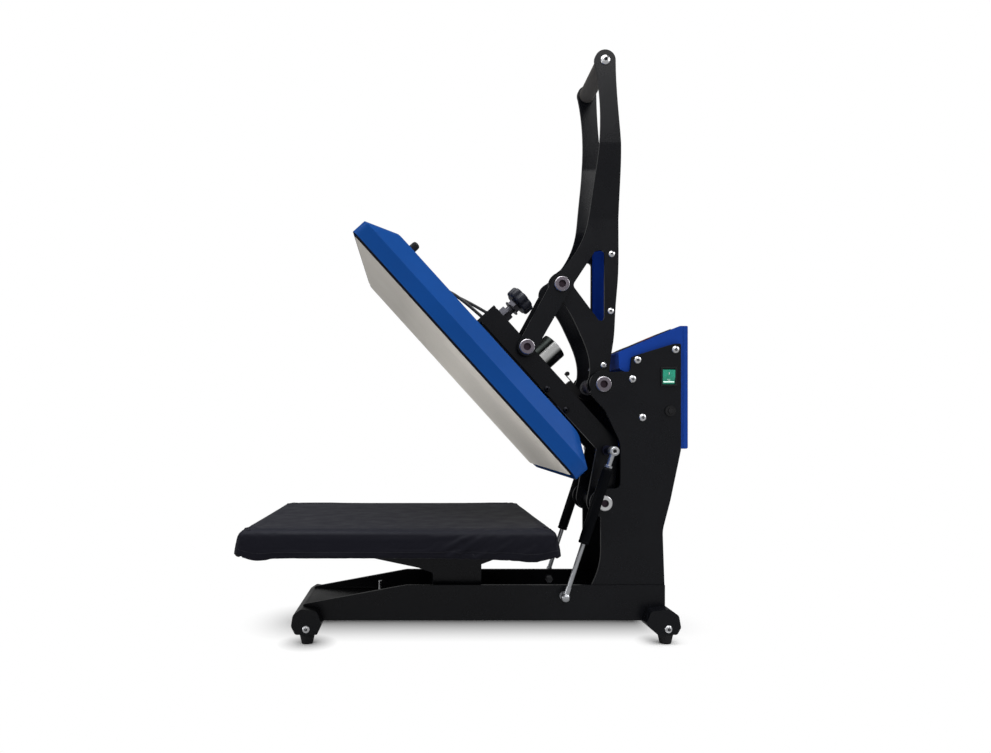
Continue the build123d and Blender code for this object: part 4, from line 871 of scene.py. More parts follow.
def button_screws(seats, head, height, socket, shank, length, finish=FINISHES["zinc_screw"]):
    """Screws on their seats, with painted shade on the faces inside each socket."""
    mesh = BUTTON_SCREW.grow(seat_mesh(seats), {
        "Head Radius": head * MM, "Head Height": height * MM, "Socket Width": socket * MM,
        "Shank Radius": shank * MM, "Shank Length": length * MM, "Finish": finish})
    # The second slot paints shade inside each socket
    mesh.materials.append(SOCKET_SHADE)
    for face in mesh.polygons:
        for point, way in seats:
            offset = face.center - point
            up = offset.dot(Vector(way))
            out = (offset - Vector(way) * up).length
            low, high = [share * height * MM for share in SOCKET_DEPTH]
            if low < up < high and out < socket * SOCKET_REACH * MM:
                face.material_index = 1
    return mesh


def hex_bolts(seats, width, height, washer, shank, above, below):
    return HEX_BOLT.grow(seat_mesh(seats), {
        "Width": width * MM, "Height": height * MM, "Washer Radius": washer * MM,
        "Shank Radius": shank * MM, "Shank Above": above * MM, "Shank Below": below * MM,
        "Finish": FINISHES["zinc_screw"]})


def upright(places, way):
    """Seats at places in millimetres that all face up, 1, or down, -1."""
    return [(Vector(place) * MM, (0, 0, way)) for place in places]


def stand_fasteners():
    """All the screws, bolts and nuts of the stand."""
    meshes = [
        button_screws(both_sides(COLUMN_FACE, COLUMN_SCREWS), *COLUMN_SCREW),
        button_screws(both_sides(FOOT_END, FOOT_BOLTS), *FOOT_END_SCREW),
        hex_bolts(upright([(x, y, FOOT_NUT_Z) for x, y in FOOT_XY], 1), *FOOT_NUT),
        button_screws(upright([(x, y, FOOT_HEAD_Z) for x, y in FOOT_XY], -1), *FOOT_PAD_SCREW),
        hex_bolts(upright(BED_BOLTS, -1), *BED_BOLT),
        hex_bolts(upright([FLOOR_STUD], 1), *STUD_NUT),
    ]
    finish_piece("stand_fasteners", meshes, "stand", ["stand_screws"])


def handle_fasteners():
    meshes = [
        button_screws(both_sides(GRIP_FACE, GRIP_SCREWS), *GRIP_SCREW),
        button_screws(both_sides(HANDLE_LOW_FACE, BRACE_SCREWS[:2]), *BRACE_SCREW),
        button_screws(both_sides(HANDLE_LOW_FACE, BRACE_SCREWS[2:]), *LOW_BRACE_SCREW),
    ]
    finish_piece("handle_fasteners", meshes, "handle", ["handle_screws"])


def arm_fasteners():
    seats = [(platen_point(side * ARM_FACE, t * MM, h * MM), (side, 0, 0))
             for t, h in ARM_BOLTS_TH for side, word in SIDES]
    mesh = button_screws(seats, *ARM_SCREW, BLACK_OXIDE)
    finish_piece("arm_fasteners", mesh, "arm", ["arm_bolts"])


# Bed cover: cloth cut to the pad, drawn in under its edge by a hem

BED_LOW, BED_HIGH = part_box("bed_cover")
BED_MID_Y = (BED_LOW.y + BED_HIGH.y) / 2
BED_HALF = (212.0 * MM, (BED_HIGH.y - BED_LOW.y) / 2)
# Height, inset from the widest outline and corner radius in millimetres, from the hem to the crown
COVER_LEVELS = [
    (168.0, -1.6, 8.0),
    (177.0, -1.0, 8.0),
    (188.0, 0.6, 9.0),
    (197.0, 2.0, 9.5),
    (203.4, 3.6, 11.0),
    (206.6, 6.4, 13.0),
    (208.8, 12.0, 17.0),
    (209.9, 22.0, 24.0),
    (210.4, 60.0, 34.0),
    (210.6, 150.0, 40.0),
    (210.6, 208.0, 3.5),
]
HEM_Z = COVER_LEVELS[0][0] * MM
CLOTH_STEP = 3.2 * MM
# The closed plate's face stops just above this
CLOTH_HIGHEST = ARM_PIVOT.z - PIVOT_H - 0.6 * MM
SIMULATED_INSET = 34.0 * MM
CLOTH_THICK = 0.8 * MM
# The farthest that the simulation may move a point
CLOTH_CAP = 5.0 * MM
# How far the cloth and the pad keep apart
CLOTH_GAP = 0.4 * MM
CLOTH_FRAMES = 24
CLOTH_SETTINGS = {
    "quality": 6, "mass": 0.12, "tension_stiffness": 18, "compression_stiffness": 18,
    "shear_stiffness": 8, "bending_stiffness": 0.25, "air_damping": 4, "vertex_group_mass": "held",
}
# How far in and up the turned hem runs from the hem, in millimetres, from its inner edge out
HEM_TURN = [(4.2, 7.0), (4.4, 3.0), (3.6, 0.4), (2.2, -0.9), (0.9, -0.6)]
CORNER_STATIONS = 12
SIDE_STATIONS = (104, 128)


def smoothstep(low, high, value):
    share = min(1.0, max(0.0, (value - low) / (high - low)))
    return share * share * (3 - 2 * share)


def bump(centre, width, value):
    return math.exp(-((value - centre) / width) ** 2)


def curve_through(points, step):
    """Evenly spaced samples of a smooth curve through the points, which hold any number of values."""
    ends = [points[0], *points, points[-1]]
    fine = []
    for before, start, end, after in zip(ends, ends[1:], ends[2:], ends[3:]):
        for i in range(24):
            t = i / 24
            row = []
            for a, b, c, d in zip(before, start, end, after):
                row.append(0.5 * (2 * b + (c - a) * t + (2 * a - 5 * b + 4 * c - d) * t * t
                                  + (3 * b - a - 3 * c + d) * t ** 3))
            fine.append(row)
    fine.append(list(points[-1]))
    lengths = [0.0]
    for low, high in zip(fine, fine[1:]):
        lengths.append(lengths[-1] + math.hypot(high[0] - low[0], high[1] - low[1]))
    count = round(lengths[-1] / step)
    samples = []
    at = 0
    for i in range(count + 1):
        wanted = lengths[-1] * i / count
        while at < len(lengths) - 2 and lengths[at + 1] < wanted:
            at += 1
        span = lengths[at + 1] - lengths[at]
        share = (wanted - lengths[at]) / span if span else 0.0
        samples.append([a + (b - a) * share for a, b in zip(fine[at], fine[at + 1])] + [wanted])
    return samples


def outline_stations(inset, corner):
    """A rounded rectangle about the bed's middle, always with the same number of stations."""
    half_x = BED_HALF[0] - inset
    half_y = BED_HALF[1] - inset
    corner = min(corner, half_x * 0.96)
    straight = ((half_x - corner), (half_y - corner))
    stations = []
    for quarter in range(4):
        count = SIDE_STATIONS[quarter % 2]
        run = straight[quarter % 2]
        out = half_y if quarter % 2 == 0 else half_x
        turn = quarter * math.pi / 2
        local = [(-run + 2 * run * i / count, -out) for i in range(count)]
        for i in range(CORNER_STATIONS):
            angle = -math.pi / 2 + math.pi / 2 * i / CORNER_STATIONS
            local.append((run + corner * math.cos(angle), -out + corner + corner * math.sin(angle)))
        for x, y in local:
            stations.append((x * math.cos(turn) - y * math.sin(turn),
                             x * math.sin(turn) + y * math.cos(turn)))
    return stations


def cover_rings():
    """Rings of (x, y, z) from the hem to the crown, with each ring's height and flat outline."""
    levels = [(z * MM, inset * MM, corner * MM) for z, inset, corner in COVER_LEVELS]
    samples = curve_through(levels, CLOTH_STEP)
    edge = min(range(len(samples)), key=lambda i: abs(samples[i][1] - SIMULATED_INSET))
    rings = []
    flats = []
    for z, inset, corner, along in samples:
        rings.append([Vector((x, y + BED_MID_Y, z)) for x, y in outline_stations(inset, corner)])
        flat_inset = SIMULATED_INSET - (samples[edge][3] - along) if along < samples[edge][3] else inset
        flats.append(outline_stations(flat_inset, corner))
    return rings, flats, edge


def near_edge(point, low, high):
    """How far a point counts as on the bed's side and on its end, each signed outwards."""
    side = smoothstep(low, high, (BED_HALF[0] - abs(point.x)) / MM)
    end = smoothstep(low, high, (BED_HALF[1] - abs(point.y - BED_MID_Y)) / MM)
    return math.copysign(side, point.x), math.copysign(end, point.y - BED_MID_Y)


def hem_place(point):
    """How far a hem point lies from the nearest corner, and which end of the bed that corner is at."""
    from_side = BED_HALF[0] - abs(point.x)
    from_end = BED_HALF[1] - abs(point.y - BED_MID_Y)
    return max(from_side, from_end), point.y > BED_MID_Y


def drawn_hem(rings, edge):
    """The cloth as pulled on: lifted at the corners, slack beside them, dragged forward at the rear."""
    shaped = []
    top_z = rings[edge][0].z
    for ring in rings[:edge + 1]:
        row = []
        for point in ring:
            share = max(0.0, (top_z - point.z) / (top_z - HEM_Z))
            pulled = share ** 1.5
            corner, rear = hem_place(rings[0][len(row)])
            peak, dip, tail = (3.0, 4.4, 2.6) if rear else (6.5, 3.6, 0.0)
            lift = peak * bump(0, 16, corner / MM)
            droop = dip * bump(36, 22, corner / MM) + tail * bump(70, 60, corner / MM)
            right = smoothstep(100, 190, point.x / MM)
            rearward = smoothstep(-150, 10, point.y / MM) * (1 - smoothstep(96, 124, point.y / MM))
            drag = (7.5 * right * rearward + 2.5 * noise.noise(Vector((point.x, point.y, 0)) * 9)) * MM
            tuck = 0.8 * MM * (1 + noise.noise(point * 24))
            outward_x, outward_y = near_edge(point, 20, 0)
            slant = math.radians(36)
            across = -point.y * math.sin(slant) + point.z * math.cos(slant)
            ahead = point.y * math.cos(slant) + point.z * math.sin(slant)
            crease = noise.noise(Vector((across * 85, ahead * 14, 3.1)))
            crease += 0.5 * noise.noise(Vector((across * 190, ahead * 26, 7.7)))
            small = noise.noise(Vector((point.x * 30, point.y * 30, point.z * 42)))
            sway = smoothstep(0.12, 0.5, share) * MM
            out = (4.8 * crease * right * (0.2 + rearward) + 1.3 * small) * sway - tuck * pulled
            row.append(point + Vector((outward_x * out, outward_y * out - drag * pulled,
                                       (lift - droop) * MM * pulled)))
        shaped.append(row)
    return shaped


def ring_mesh(name, rings, closed_top=False):
    count = len(rings[0])
    points = [tuple(point) for ring in rings for point in ring]
    faces = []
    for level in range(len(rings) - 1):
        for i in range(count):
            j = (i + 1) % count
            low, high = level * count, (level + 1) * count
            faces.append((low + i, low + j, high + j, high + i))
    if closed_top:
        faces.append(tuple(range((len(rings) - 1) * count, len(rings) * count)))
    mesh = bpy.data.meshes.new(name)
    mesh.from_pydata(points, [], faces)
    return mesh


def settle(start, cut, form, pinned):
    """Lets the pulled cloth find its creases over the pad's form; no point moves past CLOTH_CAP."""
    cloth = link_up("cloth_trial", ring_mesh("cloth_trial", start))
    cloth.shape_key_add(name="Basis")
    rest = cloth.shape_key_add(name="cut", from_mix=False)
    for i, point in enumerate(p for ring in cut for p in ring):
        rest.data[i].co = point
    group = cloth.vertex_groups.new(name="held")
    count = len(start[0])
    for level, weight in pinned.items():
        group.add(range(level * count, (level + 1) * count), weight, "REPLACE")
    pad = link_up("pad_form", ring_mesh("pad_form", form, closed_top=True))
    pad.modifiers.new("collision", "COLLISION")
    pad.collision.thickness_outer = CLOTH_GAP
    pad.collision.cloth_friction = 12
    simulation = cloth.modifiers.new("cloth", "CLOTH")
    for key, value in CLOTH_SETTINGS.items():
        setattr(simulation.settings, key, value)
    simulation.settings.rest_shape_key = rest
    simulation.collision_settings.distance_min = CLOTH_GAP
    simulation.collision_settings.collision_quality = 3
    simulation.point_cache.frame_end = CLOTH_FRAMES
    scene = bpy.context.scene
    for i in range(1, CLOTH_FRAMES + 1):
        scene.frame_set(i)
    graph = bpy.context.evaluated_depsgraph_get()
    moved = [v.co.copy() for v in cloth.evaluated_get(graph).data.vertices]
    scene.frame_set(1)
    for helper in (cloth, pad):
        bpy.data.objects.remove(helper)
    settled = []
    for level, ring in enumerate(start):
        row = []
        for i, point in enumerate(ring):
            step = moved[level * count + i] - point
            if step.length > CLOTH_CAP:
                step *= CLOTH_CAP / step.length
            row.append(point + step)
        settled.append(row)
    return settled


def inward(point, distance):
    """A hem point moved towards the bed's middle, square to the nearest side."""
    side, end = near_edge(point, 14, 2)
    way = Vector((-side, -end, 0))
    return point + way.normalized() * distance if way.length else point


def bed_cover():
    """The cloth cover as one sheet; gives back its settled rings, from the hem up."""
    rings, flats, edge = cover_rings()
    start = drawn_hem(rings, edge)
    below = Vector((0, 0, 1.6 * MM))
    form_rings = [[inward(p, 2.4 * MM) - below for p in ring] for ring in rings[:edge + 4]]
    pins = {0: 0.9, edge: 1.0, edge - 1: 1.0}
    settled = settle(start, rings[:edge + 1], form_rings, pins)
    for ring in settled:
        for point in ring:
            point.z = min(point.z, CLOTH_HIGHEST)
    turned = []
    for tuck, rise in HEM_TURN:
        turned.append([inward(point, tuck * MM) + Vector((0, 0, rise * MM)) for point in settled[0]])
    whole = turned + settled + rings[edge + 1:]
    extra = []
    for i in range(len(turned), 0, -1):
        grow = 1 + i * CLOTH_STEP / BED_HALF[0]
        extra.append([(x * grow, y * grow) for x, y in flats[0]])
    mesh = ring_mesh("bed_cover_cloth", whole, closed_top=True)
    lay = mesh.uv_layers.new(name="cut")
    flat_points = [place for ring in extra + flats for place in ring]
    for loop in mesh.loops:
        lay.data[loop.index].uv = flat_points[loop.vertex_index]
    work = bmesh.new()
    work.from_mesh(mesh)
    bmesh.ops.recalc_face_normals(work, faces=work.faces)
    top = max(work.faces, key=lambda face: face.calc_center_median().z)
    if top.normal.z < 0:
        bmesh.ops.reverse_faces(work, faces=work.faces)
    work.to_mesh(mesh)
    work.free()
    for face in mesh.polygons:
        face.use_smooth = True
    mesh.materials.append(FINISHES["bed_cloth"])
    piece = link_up("bed_cover_cloth", mesh)
    shell = piece.modifiers.new("thickness", "SOLIDIFY")
    shell.thickness = CLOTH_THICK
    shell.offset = -1.0
    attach(piece, "stand")
    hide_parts("bed_cover")
    return settled


def beads(path, spacing, length, width, jitter, seed, finish):
    """Beads along the edges of a mesh, their sizes in millimetres."""
    return BEADS.grow(path, {
        "Spacing": spacing * MM, "Length": length * MM, "Width": width * MM, "Jitter": jitter,
        "Seed": seed, "Finish": finish})


def hem_stitches(settled):
    """Tone on tone stitches a little above the hem."""
    row = settled[3]
    mesh = bpy.data.meshes.new("seam")
    places = [tuple(inward(point, -0.25 * MM)) for point in row]
    count = len(places)
    mesh.from_pydata(places, [(i, (i + 1) % count) for i in range(count)], [])
    finish_piece("hem_stitches", beads(mesh, 3.4, 2.5, 0.6, 0.08, 11, THREAD), "stand")


# Small modelled pieces in the platen's own frame, in millimetres

SPINDLE_T = 240.0
KNOB_LOW = 157.0
KNOB_LOBES = 8
COVER_TOP = 58.5
LEAD_PLACES = [(-14.0, 120.0), (14.0, 120.0)]
BUMPER_PLACES = [(-120.0, 60.0), (120.0, 60.0)]


def on_platen(x, t, h):
    """The place of local Z pieces that stand on the platen at (x, t, h) in millimetres."""
    return PLATEN_AT @ shift(x, t, h)


def pressure_knob():
    """Lobed hand knob with rolled edges, a hub below and a cap disc on top."""
    # Height, radius, and how fully the lobes show there
    profile = [
        (0.0, 0.0, 0.0), (0.0, 11.6, 0.0), (0.7, 12.6, 0.0), (1.0, 16.0, 0.4), (1.2, 21.4, 0.9),
        (2.0, 24.2, 1.0), (3.8, 25.7, 1.0), (6.5, 26.0, 1.0), (11.0, 26.0, 1.0), (16.0, 26.0, 1.0),
        (18.4, 25.5, 1.0), (20.0, 23.8, 1.0), (20.8, 21.0, 0.9), (21.0, 17.0, 0.4), (20.9, 13.4, 0.0),
        (21.6, 12.8, 0.0), (22.0, 11.8, 0.0), (21.7, 9.0, 0.0), (21.7, 0.0, 0.0),
    ]

    def lobed(radius, lobing):
        def reach(angle):
            valley = (0.5 - 0.5 * math.cos(KNOB_LOBES * angle)) ** 2.2
            return radius * (1 - 0.13 * lobing * valley)
        return reach

    work = bmesh.new()
    rings = [add_ring(work, height, 192, lobed(radius, lobing)) for height, radius, lobing in profile]
    skin_rings(work, rings)
    mesh = plain_mesh(work, "hand_knob")
    mesh.transform(on_platen(0, SPINDLE_T, KNOB_LOW))
    smooth(mesh)
    mesh.materials.append(FINISHES["knob_plastic"])
    finish_piece("hand_knob", mesh, "pressure_screw", ["pressure_knob"])


def rubber_bumpers():
    """Domed rubber stops on the cover."""
    profile = [(0, -4), (3, -4), (3, 0), (8.2, 0), (8.4, 1.2), (7.6, 2.4), (7.2, 4), (7.0, 13),
               (6.8, 16), (5.9, 18), (4.2, 19.2), (2, 19.7), (0, 19.8)]
    meshes = [lathe(profile, 40, on_platen(x, t, COVER_TOP), FINISHES["foot_rubber"])
              for x, t in BUMPER_PLACES]
    finish_piece("rubber_bumpers", meshes, "platen", ["cover_bumpers"])


def lead_grommets():
    """Rubber grommets where the sleeved leads leave the cover."""
    profile = [(2.9, -2.4), (5.6, -2.4), (5.6, -1.4), (4.9, -1.0), (4.9, 0.0), (6.6, 0.1), (6.9, 0.9),
               (6.2, 1.9), (4.6, 2.9), (3.3, 3.4), (2.9, 3.2)]
    meshes = [lathe(profile, 36, on_platen(x, t, COVER_TOP), FINISHES["foot_rubber"], closed=True)
              for x, t in LEAD_PLACES]
    finish_piece("lead_grommets", meshes, "platen")


# Gas springs

# Lower end of a spring as (x, y, z), then distances along it from there and out to its side
SPRING_FOOT = (88.0, 159.9, 78.2)
TUBE_FOOT = 96.6
TUBE_LENGTH = 136.0
SPRING_RUN = 262.63
CUP_FACE = 8.0


def on_spring(side, along, out, way):
    """The place of local Z pieces that face one way on a gas spring."""
    foot = Vector((side * (SPRING_FOOT[0] + out), SPRING_FOOT[1], SPRING_FOOT[2])) * MM
    return Matrix.Translation(foot + SPRING_AXIS * along * MM) @ facing(way)


def gas_tubes():
    """Pressure tubes with a rolled groove at the rod end and a spun shoulder at the other."""
    end = TUBE_LENGTH
    profile = [
        (0, 5), (4.2, 5), (4.2, 0.4), (4.6, 0), (7.6, 0), (8.6, 0.6), (8.95, 1.6), (9.0, 4.4), (8.75, 5.0),
        (8.45, 5.4), (8.45, 6.2), (8.75, 6.6), (9.0, 7.2), (9.0, end - 8), (8.9, end - 5.5),
        (8.3, end - 3.2), (7.2, end - 1.4), (5.8, end - 0.3), (4.5, end), (0, end)]
    for side, word in SIDES:
        mesh = lathe(profile, 56, on_spring(side, TUBE_FOOT, 0, SPRING_AXIS), FINISHES["tube_black"])
        finish_piece("pressure_tube_" + word, mesh, "gas_tube_" + word, ["gas_tube_" + word])


def socket_caps():
    """Pressed caps, dark in their centre, that close the gas springs' upper ball sockets."""
    ring = [(0.0, -0.6), (6.6, -0.6), (6.6, 0.5), (6.1, 1.1), (4.4, 1.3), (3.5, 0.9), (3.2, 0.3),
            (0.0, 0.3)]
    centre = [(0.0, 0.1), (3.1, 0.1), (3.1, 0.5), (2.2, 0.7), (0.0, 0.7)]
    for side, word in SIDES:
        place = on_spring(side, SPRING_RUN, CUP_FACE, (side, 0, 0))
        # The centre disc takes the painted-shade finish
        meshes = [lathe(ring, 40, place, FINISHES["zinc_screw"]), lathe(centre, 24, place, SOCKET_SHADE)]
        finish_piece("socket_cap_" + word, meshes, "gas_tube_" + word)


# Switches

ROCKER_AT = shift(65.0, 342.0, 456.0) @ turned_by(8, "Y")
# The rocker's half width and half height, its back, the height of its two ends and of its ridge over them
ROCKER_HALF = (10.7, 12.4)
ROCKER_BACK = -5.5
ROCKER_END = 5.6
ROCKER_RIDGE = 1.8
BREAKER_AT = shift(70.0, 344.3, 396.4)
KNURLS = 60


def rectangle(half_x, half_y):
    return [(-half_x, -half_y), (half_x, -half_y), (half_x, half_y), (-half_x, half_y)]


def prism(outline, low, high, finish):
    """A flat outline given height, all in millimetres."""
    work = bmesh.new()
    base, top = [[work.verts.new((x * MM, y * MM, level * MM)) for x, y in outline]
                 for level in (low, high)]
    work.faces.new(base)
    work.faces.new(top)
    for i in range(len(outline)):
        j = (i + 1) % len(outline)
        work.faces.new((base[i], base[j], top[j], top[i]))
    mesh = plain_mesh(work, "prism")
    mesh.materials.append(finish)
    return mesh


def bevelled(mesh, width):
    """Rolls over every sharp edge of a mesh."""
    work = bmesh.new()
    work.from_mesh(mesh)
    edges = [e for e in work.edges if e.is_manifold and e.calc_face_angle() > math.radians(30)]
    bmesh.ops.bevel(work, geom=edges, offset=width * MM, segments=3, profile=0.6, affect="EDGES",
                    clamp_overlap=True)
    work.to_mesh(mesh)
    work.free()
    smooth(mesh)


def rocker_key():
    """The rocker: two dished faces that meet in a ridge, a lamp bar, and the usual bar and ring."""
    half_wide, half_tall = ROCKER_HALF
    outline = [(ROCKER_BACK, half_tall), (ROCKER_BACK, -half_tall), (ROCKER_END, -half_tall)]
    steps = 14
    for i in range(1, 2 * steps):
        z = -half_tall + half_tall * i / steps
        away = abs(z) / half_tall
        outline.append((ROCKER_END + ROCKER_RIDGE * (1 - away) ** 1.35, z))
    outline.append((ROCKER_END, half_tall))
    body = prism(outline, -half_wide, half_wide, FINISHES["rocker_green"])
    body.transform(turned_by(90, "X"))
    bevelled(body, 0.5)
    face_out = turned_by(90, "Y") @ turned_by(90, "Z")
    lean = math.atan2(ROCKER_RIDGE, half_tall)
    lower, upper = [Matrix.Rotation(way * lean, 4, "Y") @ face_out for way in (-1, 1)]
    lamp = prism(rectangle(9.4, 0.9), 0, 0.5, LAMP_BAR)
    bevelled(lamp, 0.2)
    lamp.transform(shift(6.05, 0, -8.4) @ lower)
    bar = prism(rectangle(0.5, 2.2), 0, 0.35, PRINT_WHITE)
    bar.transform(shift(6.45, 0, 5.8) @ upper)
    ring = lathe([(1.5, 0), (2.1, 0), (2.1, 0.35), (1.5, 0.35)], 28, shift(6.5, 0, -4.4) @ lower,
                 PRINT_WHITE, closed=True)
    whole = joined("rocker_key", [body, lamp, bar, ring])
    whole.transform(ROCKER_AT)
    finish_piece("rocker_moulding", whole, "rocker_key", ["rocker"])


def breaker_fittings():
    """Knurled ring round the breaker's reset button."""
    def knurled(share):
        return lambda angle: share * (9.0 - 0.2 * math.cos(KNURLS * angle))

    work = bmesh.new()
    rings = []
    for share, height in ((1.0, 0.0), (1.0, 2.2), (0.94, 3.0), (0.62, 3.1), (0.55, 2.6), (0.55, 0.0)):
        rings.append(add_ring(work, height, 2 * KNURLS, knurled(share)))
    skin_rings(work, rings, closed=True)
    mesh = plain_mesh(work, "breaker_ring")
    mesh.transform(BREAKER_AT @ facing((1, 0, 0)))
    smooth(mesh, math.radians(24))
    mesh.materials.append(FINISHES["socket_plastic"])
    finish_piece("breaker_ring", mesh, "stand")


# Control panel on the sloped top

SLOPE_LOW = Vector((0.0, 256.5, 499.0)) * MM
SLOPE_HIGH = Vector((0.0, 364.0, 544.5)) * MM
PANEL_LIFT = 1.5
# How wide a digit's bars are, the gap at their tips, how thick they are, and the step between digits
BAR_WIDE = 0.9
BAR_GAP = 0.35
BAR_THICK = 0.2
DIGIT_STEP = 1.75


def on_slope(x, y, lift):
    """A place on the sloped top: x across, y up the slope from its middle, millimetres."""
    up = (SLOPE_HIGH - SLOPE_LOW).normalized()
    across = Vector((1, 0, 0))
    out = across.cross(up)
    turn = Matrix((across, up, out)).transposed().to_4x4()
    middle = (SLOPE_HIGH + SLOPE_LOW) / 2
    return Matrix.Translation(middle) @ turn @ shift(x, y, PANEL_LIFT + lift)


# The seven bars of a digit: middle point, and whether the bar lies flat, on a unit cell
SEGMENTS = {"a": (0, 1, True), "b": (0.5, 0.5, False), "c": (0.5, -0.5, False), "d": (0, -1, True),
            "e": (-0.5, -0.5, False), "f": (-0.5, 0.5, False), "g": (0, 0, True)}
DIGITS = {"0": "abcdef", "1": "bc", "2": "abged", "3": "abgcd", "4": "fgbc", "5": "afgcd", "6": "afgedc",
          "7": "abc", "8": "abcdefg", "9": "abcdfg"}


def digit_bars(text, left, middle, half_tall, lift):
    """A number in seven-bar digits on the panel."""
    meshes = []
    reach = half_tall * 0.5 - BAR_GAP
    tip = BAR_WIDE / 2
    outline = [(-reach, 0), (-reach + tip, -tip), (reach - tip, -tip), (reach, 0), (reach - tip, tip),
               (-reach + tip, tip)]
    for place, figure in enumerate(text):
        centre = left + place * half_tall * DIGIT_STEP
        for key in DIGITS[figure]:
            x, y, flat = SEGMENTS[key]
            mesh = prism(outline, 0, BAR_THICK, LIT_SEGMENT)
            if not flat:
                mesh.transform(turned_by(90, "Z"))
            mesh.transform(on_slope(centre + x * half_tall, middle + y * half_tall, lift))
            meshes.append(mesh)
    return meshes


def panel_print():
    """Lit digits in the window, and plain marks on the keys."""
    glass = -0.3
    meshes = digit_bars("180", -20.0, 24.0, 5.4, glass) + digit_bars("030", -20.0, 10.5, 4.0, glass)
    triangle = [(-3.2, -2.4), (3.2, -2.4), (0.0, 3.0)]
    marks = [(-36.0, triangle), (-12.0, [(x, -y) for x, y in triangle])]
    disc = [(3.2 * math.cos(i * math.pi / 10), 3.2 * math.sin(i * math.pi / 10)) for i in range(20)]
    marks += [(12.0, rectangle(3.0, 3.0)), (36.0, disc)]
    for x, outline in marks:
        mark = prism(outline, 0, 0.12, PRINT_WHITE)
        mark.transform(on_slope(x, -24.0, 0.5))
        meshes.append(mark)
    finish_piece("panel_print", meshes, "stand")


# Welds

# Where the welds along the rails run, from front to rear in millimetres
WELD_RUNS = [(-240, -170), (-90, -20), (60, 130)]

def line_mesh(lines):
    """Lines as edges, given in millimetres."""
    mesh = bpy.data.meshes.new("lines")
    points = []
    edges = []
    for line in lines:
        first = len(points)
        points += [tuple(Vector(point) * MM) for point in line]
        edges += [(first + i, first + i + 1) for i in range(len(line) - 1)]
    mesh.from_pydata(points, edges, [])
    return mesh


def weld_beads():
    """Painted fillet welds where the stand's sheets meet."""
    low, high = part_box("bed_pedestal")
    x0, y0, x1, y1 = [value / MM for value in (low.x, low.y, high.x, high.y)]
    floor = low.z / MM + 0.6
    top = high.z / MM - 0.6
    lines = [
        [(x0, y0, floor), (x1, y0, floor), (x1, y1, floor), (x0, y1, floor), (x0, y0, floor)],
        [(x0, y0, top), (x1, y0, top)],
        [(x0, y1, top), (x1, y1, top)],
    ]
    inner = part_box("base_floor_plate")[1]
    rail_x = inner.x / MM - 0.5
    plate_top = inner.z / MM + 0.5
    for side in (1, -1):
        for start, end in WELD_RUNS:
            lines.append([(side * rail_x, start, plate_top), (side * rail_x, end, plate_top)])
    welds = beads(line_mesh(lines), 2.1, 4.2, 4.4, 0.10, 4, FINISHES["frame_black"])
    finish_piece("weld_beads", welds, "stand")


# Floor, light and view


def light_paths(tree):
    """True for rays that show the background: camera, mirror and glass rays."""
    path = new_node(tree, "ShaderNodeLightPath").outputs
    seen = path["Is Camera Ray"]
    for label in ("Is Glossy Ray", "Is Transmission Ray"):
        seen = arithmetic(tree, "MAXIMUM", seen, path[label])
    return seen


def seen_white(tree, mirrored):
    """Full white for the camera, and a given level where it is mirrored."""
    seen = new_node(tree, "ShaderNodeLightPath").outputs["Is Camera Ray"]
    return arithmetic(tree, "MAXIMUM", seen, mirrored)


# How far the shadow runs out from under the machine, and to its far side
SHADOW_REACH = 0.135
SHADOW_SHIFT = 0.055
FOOT_PAD_R = 13.5 * MM
# How bright the room looks in a mirror, towards the camera and behind the machine
MIRRORED = 0.45
MIRRORED_BEHIND = 0.25


def floor_finish():
    """Pale floor that takes the object's shadow and runs out into the white background."""
    pale = Finish("pale_floor", (0.86, 0.86, 0.86), 0.9, Specular_IOR_Level=0.0)
    tree = pale.tree
    feet_low, feet_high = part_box("rubber_feet")
    middle = (-SHADOW_SHIFT, (feet_low.y + feet_high.y) / 2, 0)
    half = (0, (feet_high.y - feet_low.y) / 2, 1)
    size = pale.vectors("ABSOLUTE", pale.vectors("SUBTRACT", pale.source, middle))
    past = pale.vectors("SUBTRACT", size, half)
    gap = pale.vectors("LENGTH", pale.vectors("MAXIMUM", past, (0, 0, 0)))
    far = pale.combined("POWER", pale.ranged(gap, 0.0, SHADOW_REACH), 0.7)
    pads = [(x, y, 0) for x in (feet_low.x + FOOT_PAD_R, feet_high.x - FOOT_PAD_R)
            for y in (feet_low.y + FOOT_PAD_R, feet_high.y - FOOT_PAD_R)]
    near_pads = pale.ranged(pale.nearest(pale.source, pads), 8.0 * MM, 52.0 * MM)
    off_pads = pale.combined("POWER", near_pads, 0.8)
    across = pale.node("ShaderNodeSeparateXYZ", {0: pale.source}).outputs["X"]
    room = pale.ranged(across, -0.4, 0.4, MIRRORED_BEHIND, MIRRORED)
    strength = seen_white(tree, room)
    white = pale.node("ShaderNodeEmission", {"Color": (1, 1, 1, 1), "Strength": strength}).outputs[0]
    amount = pale.combined("MULTIPLY", pale.combined("MULTIPLY", far, off_pads), light_paths(tree))
    mixed = pale.node("ShaderNodeMixShader", {0: amount, 1: pale.shader.outputs[0], 2: white})
    output = [n for n in tree.nodes if n.type == "OUTPUT_MATERIAL"][0]
    tree.links.new(mixed.outputs[0], output.inputs["Surface"])
    return pale.material


def set_floor():
    size = 40.0
    mesh = bpy.data.meshes.new("floor")
    mesh.from_pydata([(x, y, 0) for x, y in rectangle(size, size)], [], [(0, 1, 2, 3)])
    mesh.materials.append(floor_finish())
    link_up("floor", mesh)


# How bright the studio ceiling looks in a mirror
CEILING = 0.4


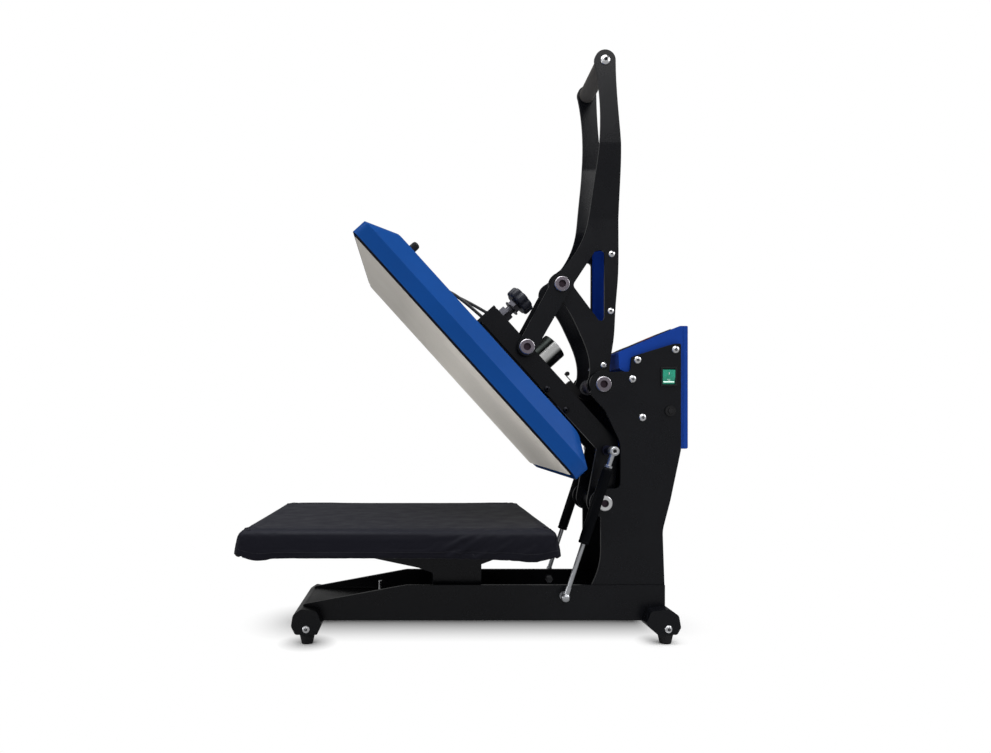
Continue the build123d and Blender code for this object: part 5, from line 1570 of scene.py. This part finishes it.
def set_world(strength):
    """Soft grey light from all round, and a white background where it is seen."""
    world = bpy.data.worlds.new("studio")
    world.use_nodes = True
    tree = world.node_tree
    tree.nodes.clear()
    ray = new_node(tree, "ShaderNodeTexCoord").outputs["Generated"]
    way = new_node(tree, "ShaderNodeSeparateXYZ", {0: ray}).outputs
    across = map_range(tree, way["X"], -0.3, 0.3, MIRRORED_BEHIND, MIRRORED)
    above = map_range(tree, way["Z"], 0.25, 0.75, 1.0, CEILING)
    shade = seen_white(tree, arithmetic(tree, "MULTIPLY", across, above))
    white = (1, 1, 1, 1)
    light = new_node(tree, "ShaderNodeBackground", {"Color": white, "Strength": strength})
    shown = new_node(tree, "ShaderNodeBackground", {"Color": white, "Strength": shade})
    given = {0: light_paths(tree), 1: light.outputs[0], 2: shown.outputs[0]}
    mixed = new_node(tree, "ShaderNodeMixShader", given)
    new_node(tree, "ShaderNodeOutputWorld", {"Surface": mixed.outputs[0]})
    bpy.context.scene.world = world


def area_light(name, place, target, size, power):
    lamp = bpy.data.lights.new(name, "AREA")
    lamp.shape = "RECTANGLE"
    lamp.size, lamp.size_y = size
    lamp.energy = power
    holder = bpy.data.objects.new(name, lamp)
    holder.location = place
    holder.rotation_euler = (Vector(target) - Vector(place)).to_track_quat("-Z", "Y").to_euler()
    bpy.context.scene.collection.objects.link(holder)


def set_lights():
    middle = (0.0, 0.0, 0.4)
    area_light("overhead", (0.4, -0.3, 3.0), middle, (2.4, 2.4), 80.0)
    area_light("camera_side", (2.5, 0.6, 2.75), (0.0, 0.1, 0.7), (1.9, 1.2), 24.0)
    area_light("front_side", (2.3, -2.2, 1.7), middle, (1.4, 1.8), 10.0)
    area_light("rear_side", (1.2, 2.6, 1.5), middle, (1.2, 1.6), 8.0)
    area_light("front_low", (0.3, -2.6, 0.3), middle, (1.4, 0.5), 9.0)
    area_light("rear_high", (0.2, 2.6, 2.0), middle, (1.6, 1.2), 34.0)


def set_camera():
    camera = bpy.data.cameras.new("photo_view")
    camera.lens = CAMERA_LENS
    camera.sensor_width = 36.0
    camera.shift_x, camera.shift_y = CAMERA_SHIFT
    camera.clip_start = 0.01
    holder = bpy.data.objects.new("photo_view", camera)
    holder.location = CAMERA_AT
    holder.rotation_euler = Vector(CAMERA_LOOK).to_track_quat("-Z", "Y").to_euler()
    bpy.context.scene.collection.objects.link(holder)
    bpy.context.scene.camera = holder
    bpy.context.scene.view_settings.view_transform = "Standard"


dress_nodes()
for name, width in SHEET_EDGES.items():
    round_edges(name, width * MM)
stand_fasteners()
handle_fasteners()
arm_fasteners()
hem_stitches(bed_cover())
pressure_knob()
rubber_bumpers()
lead_grommets()
gas_tubes()
socket_caps()
rocker_key()
breaker_fittings()
panel_print()
weld_beads()
set_floor()
set_world(0.36)
set_lights()
set_camera()
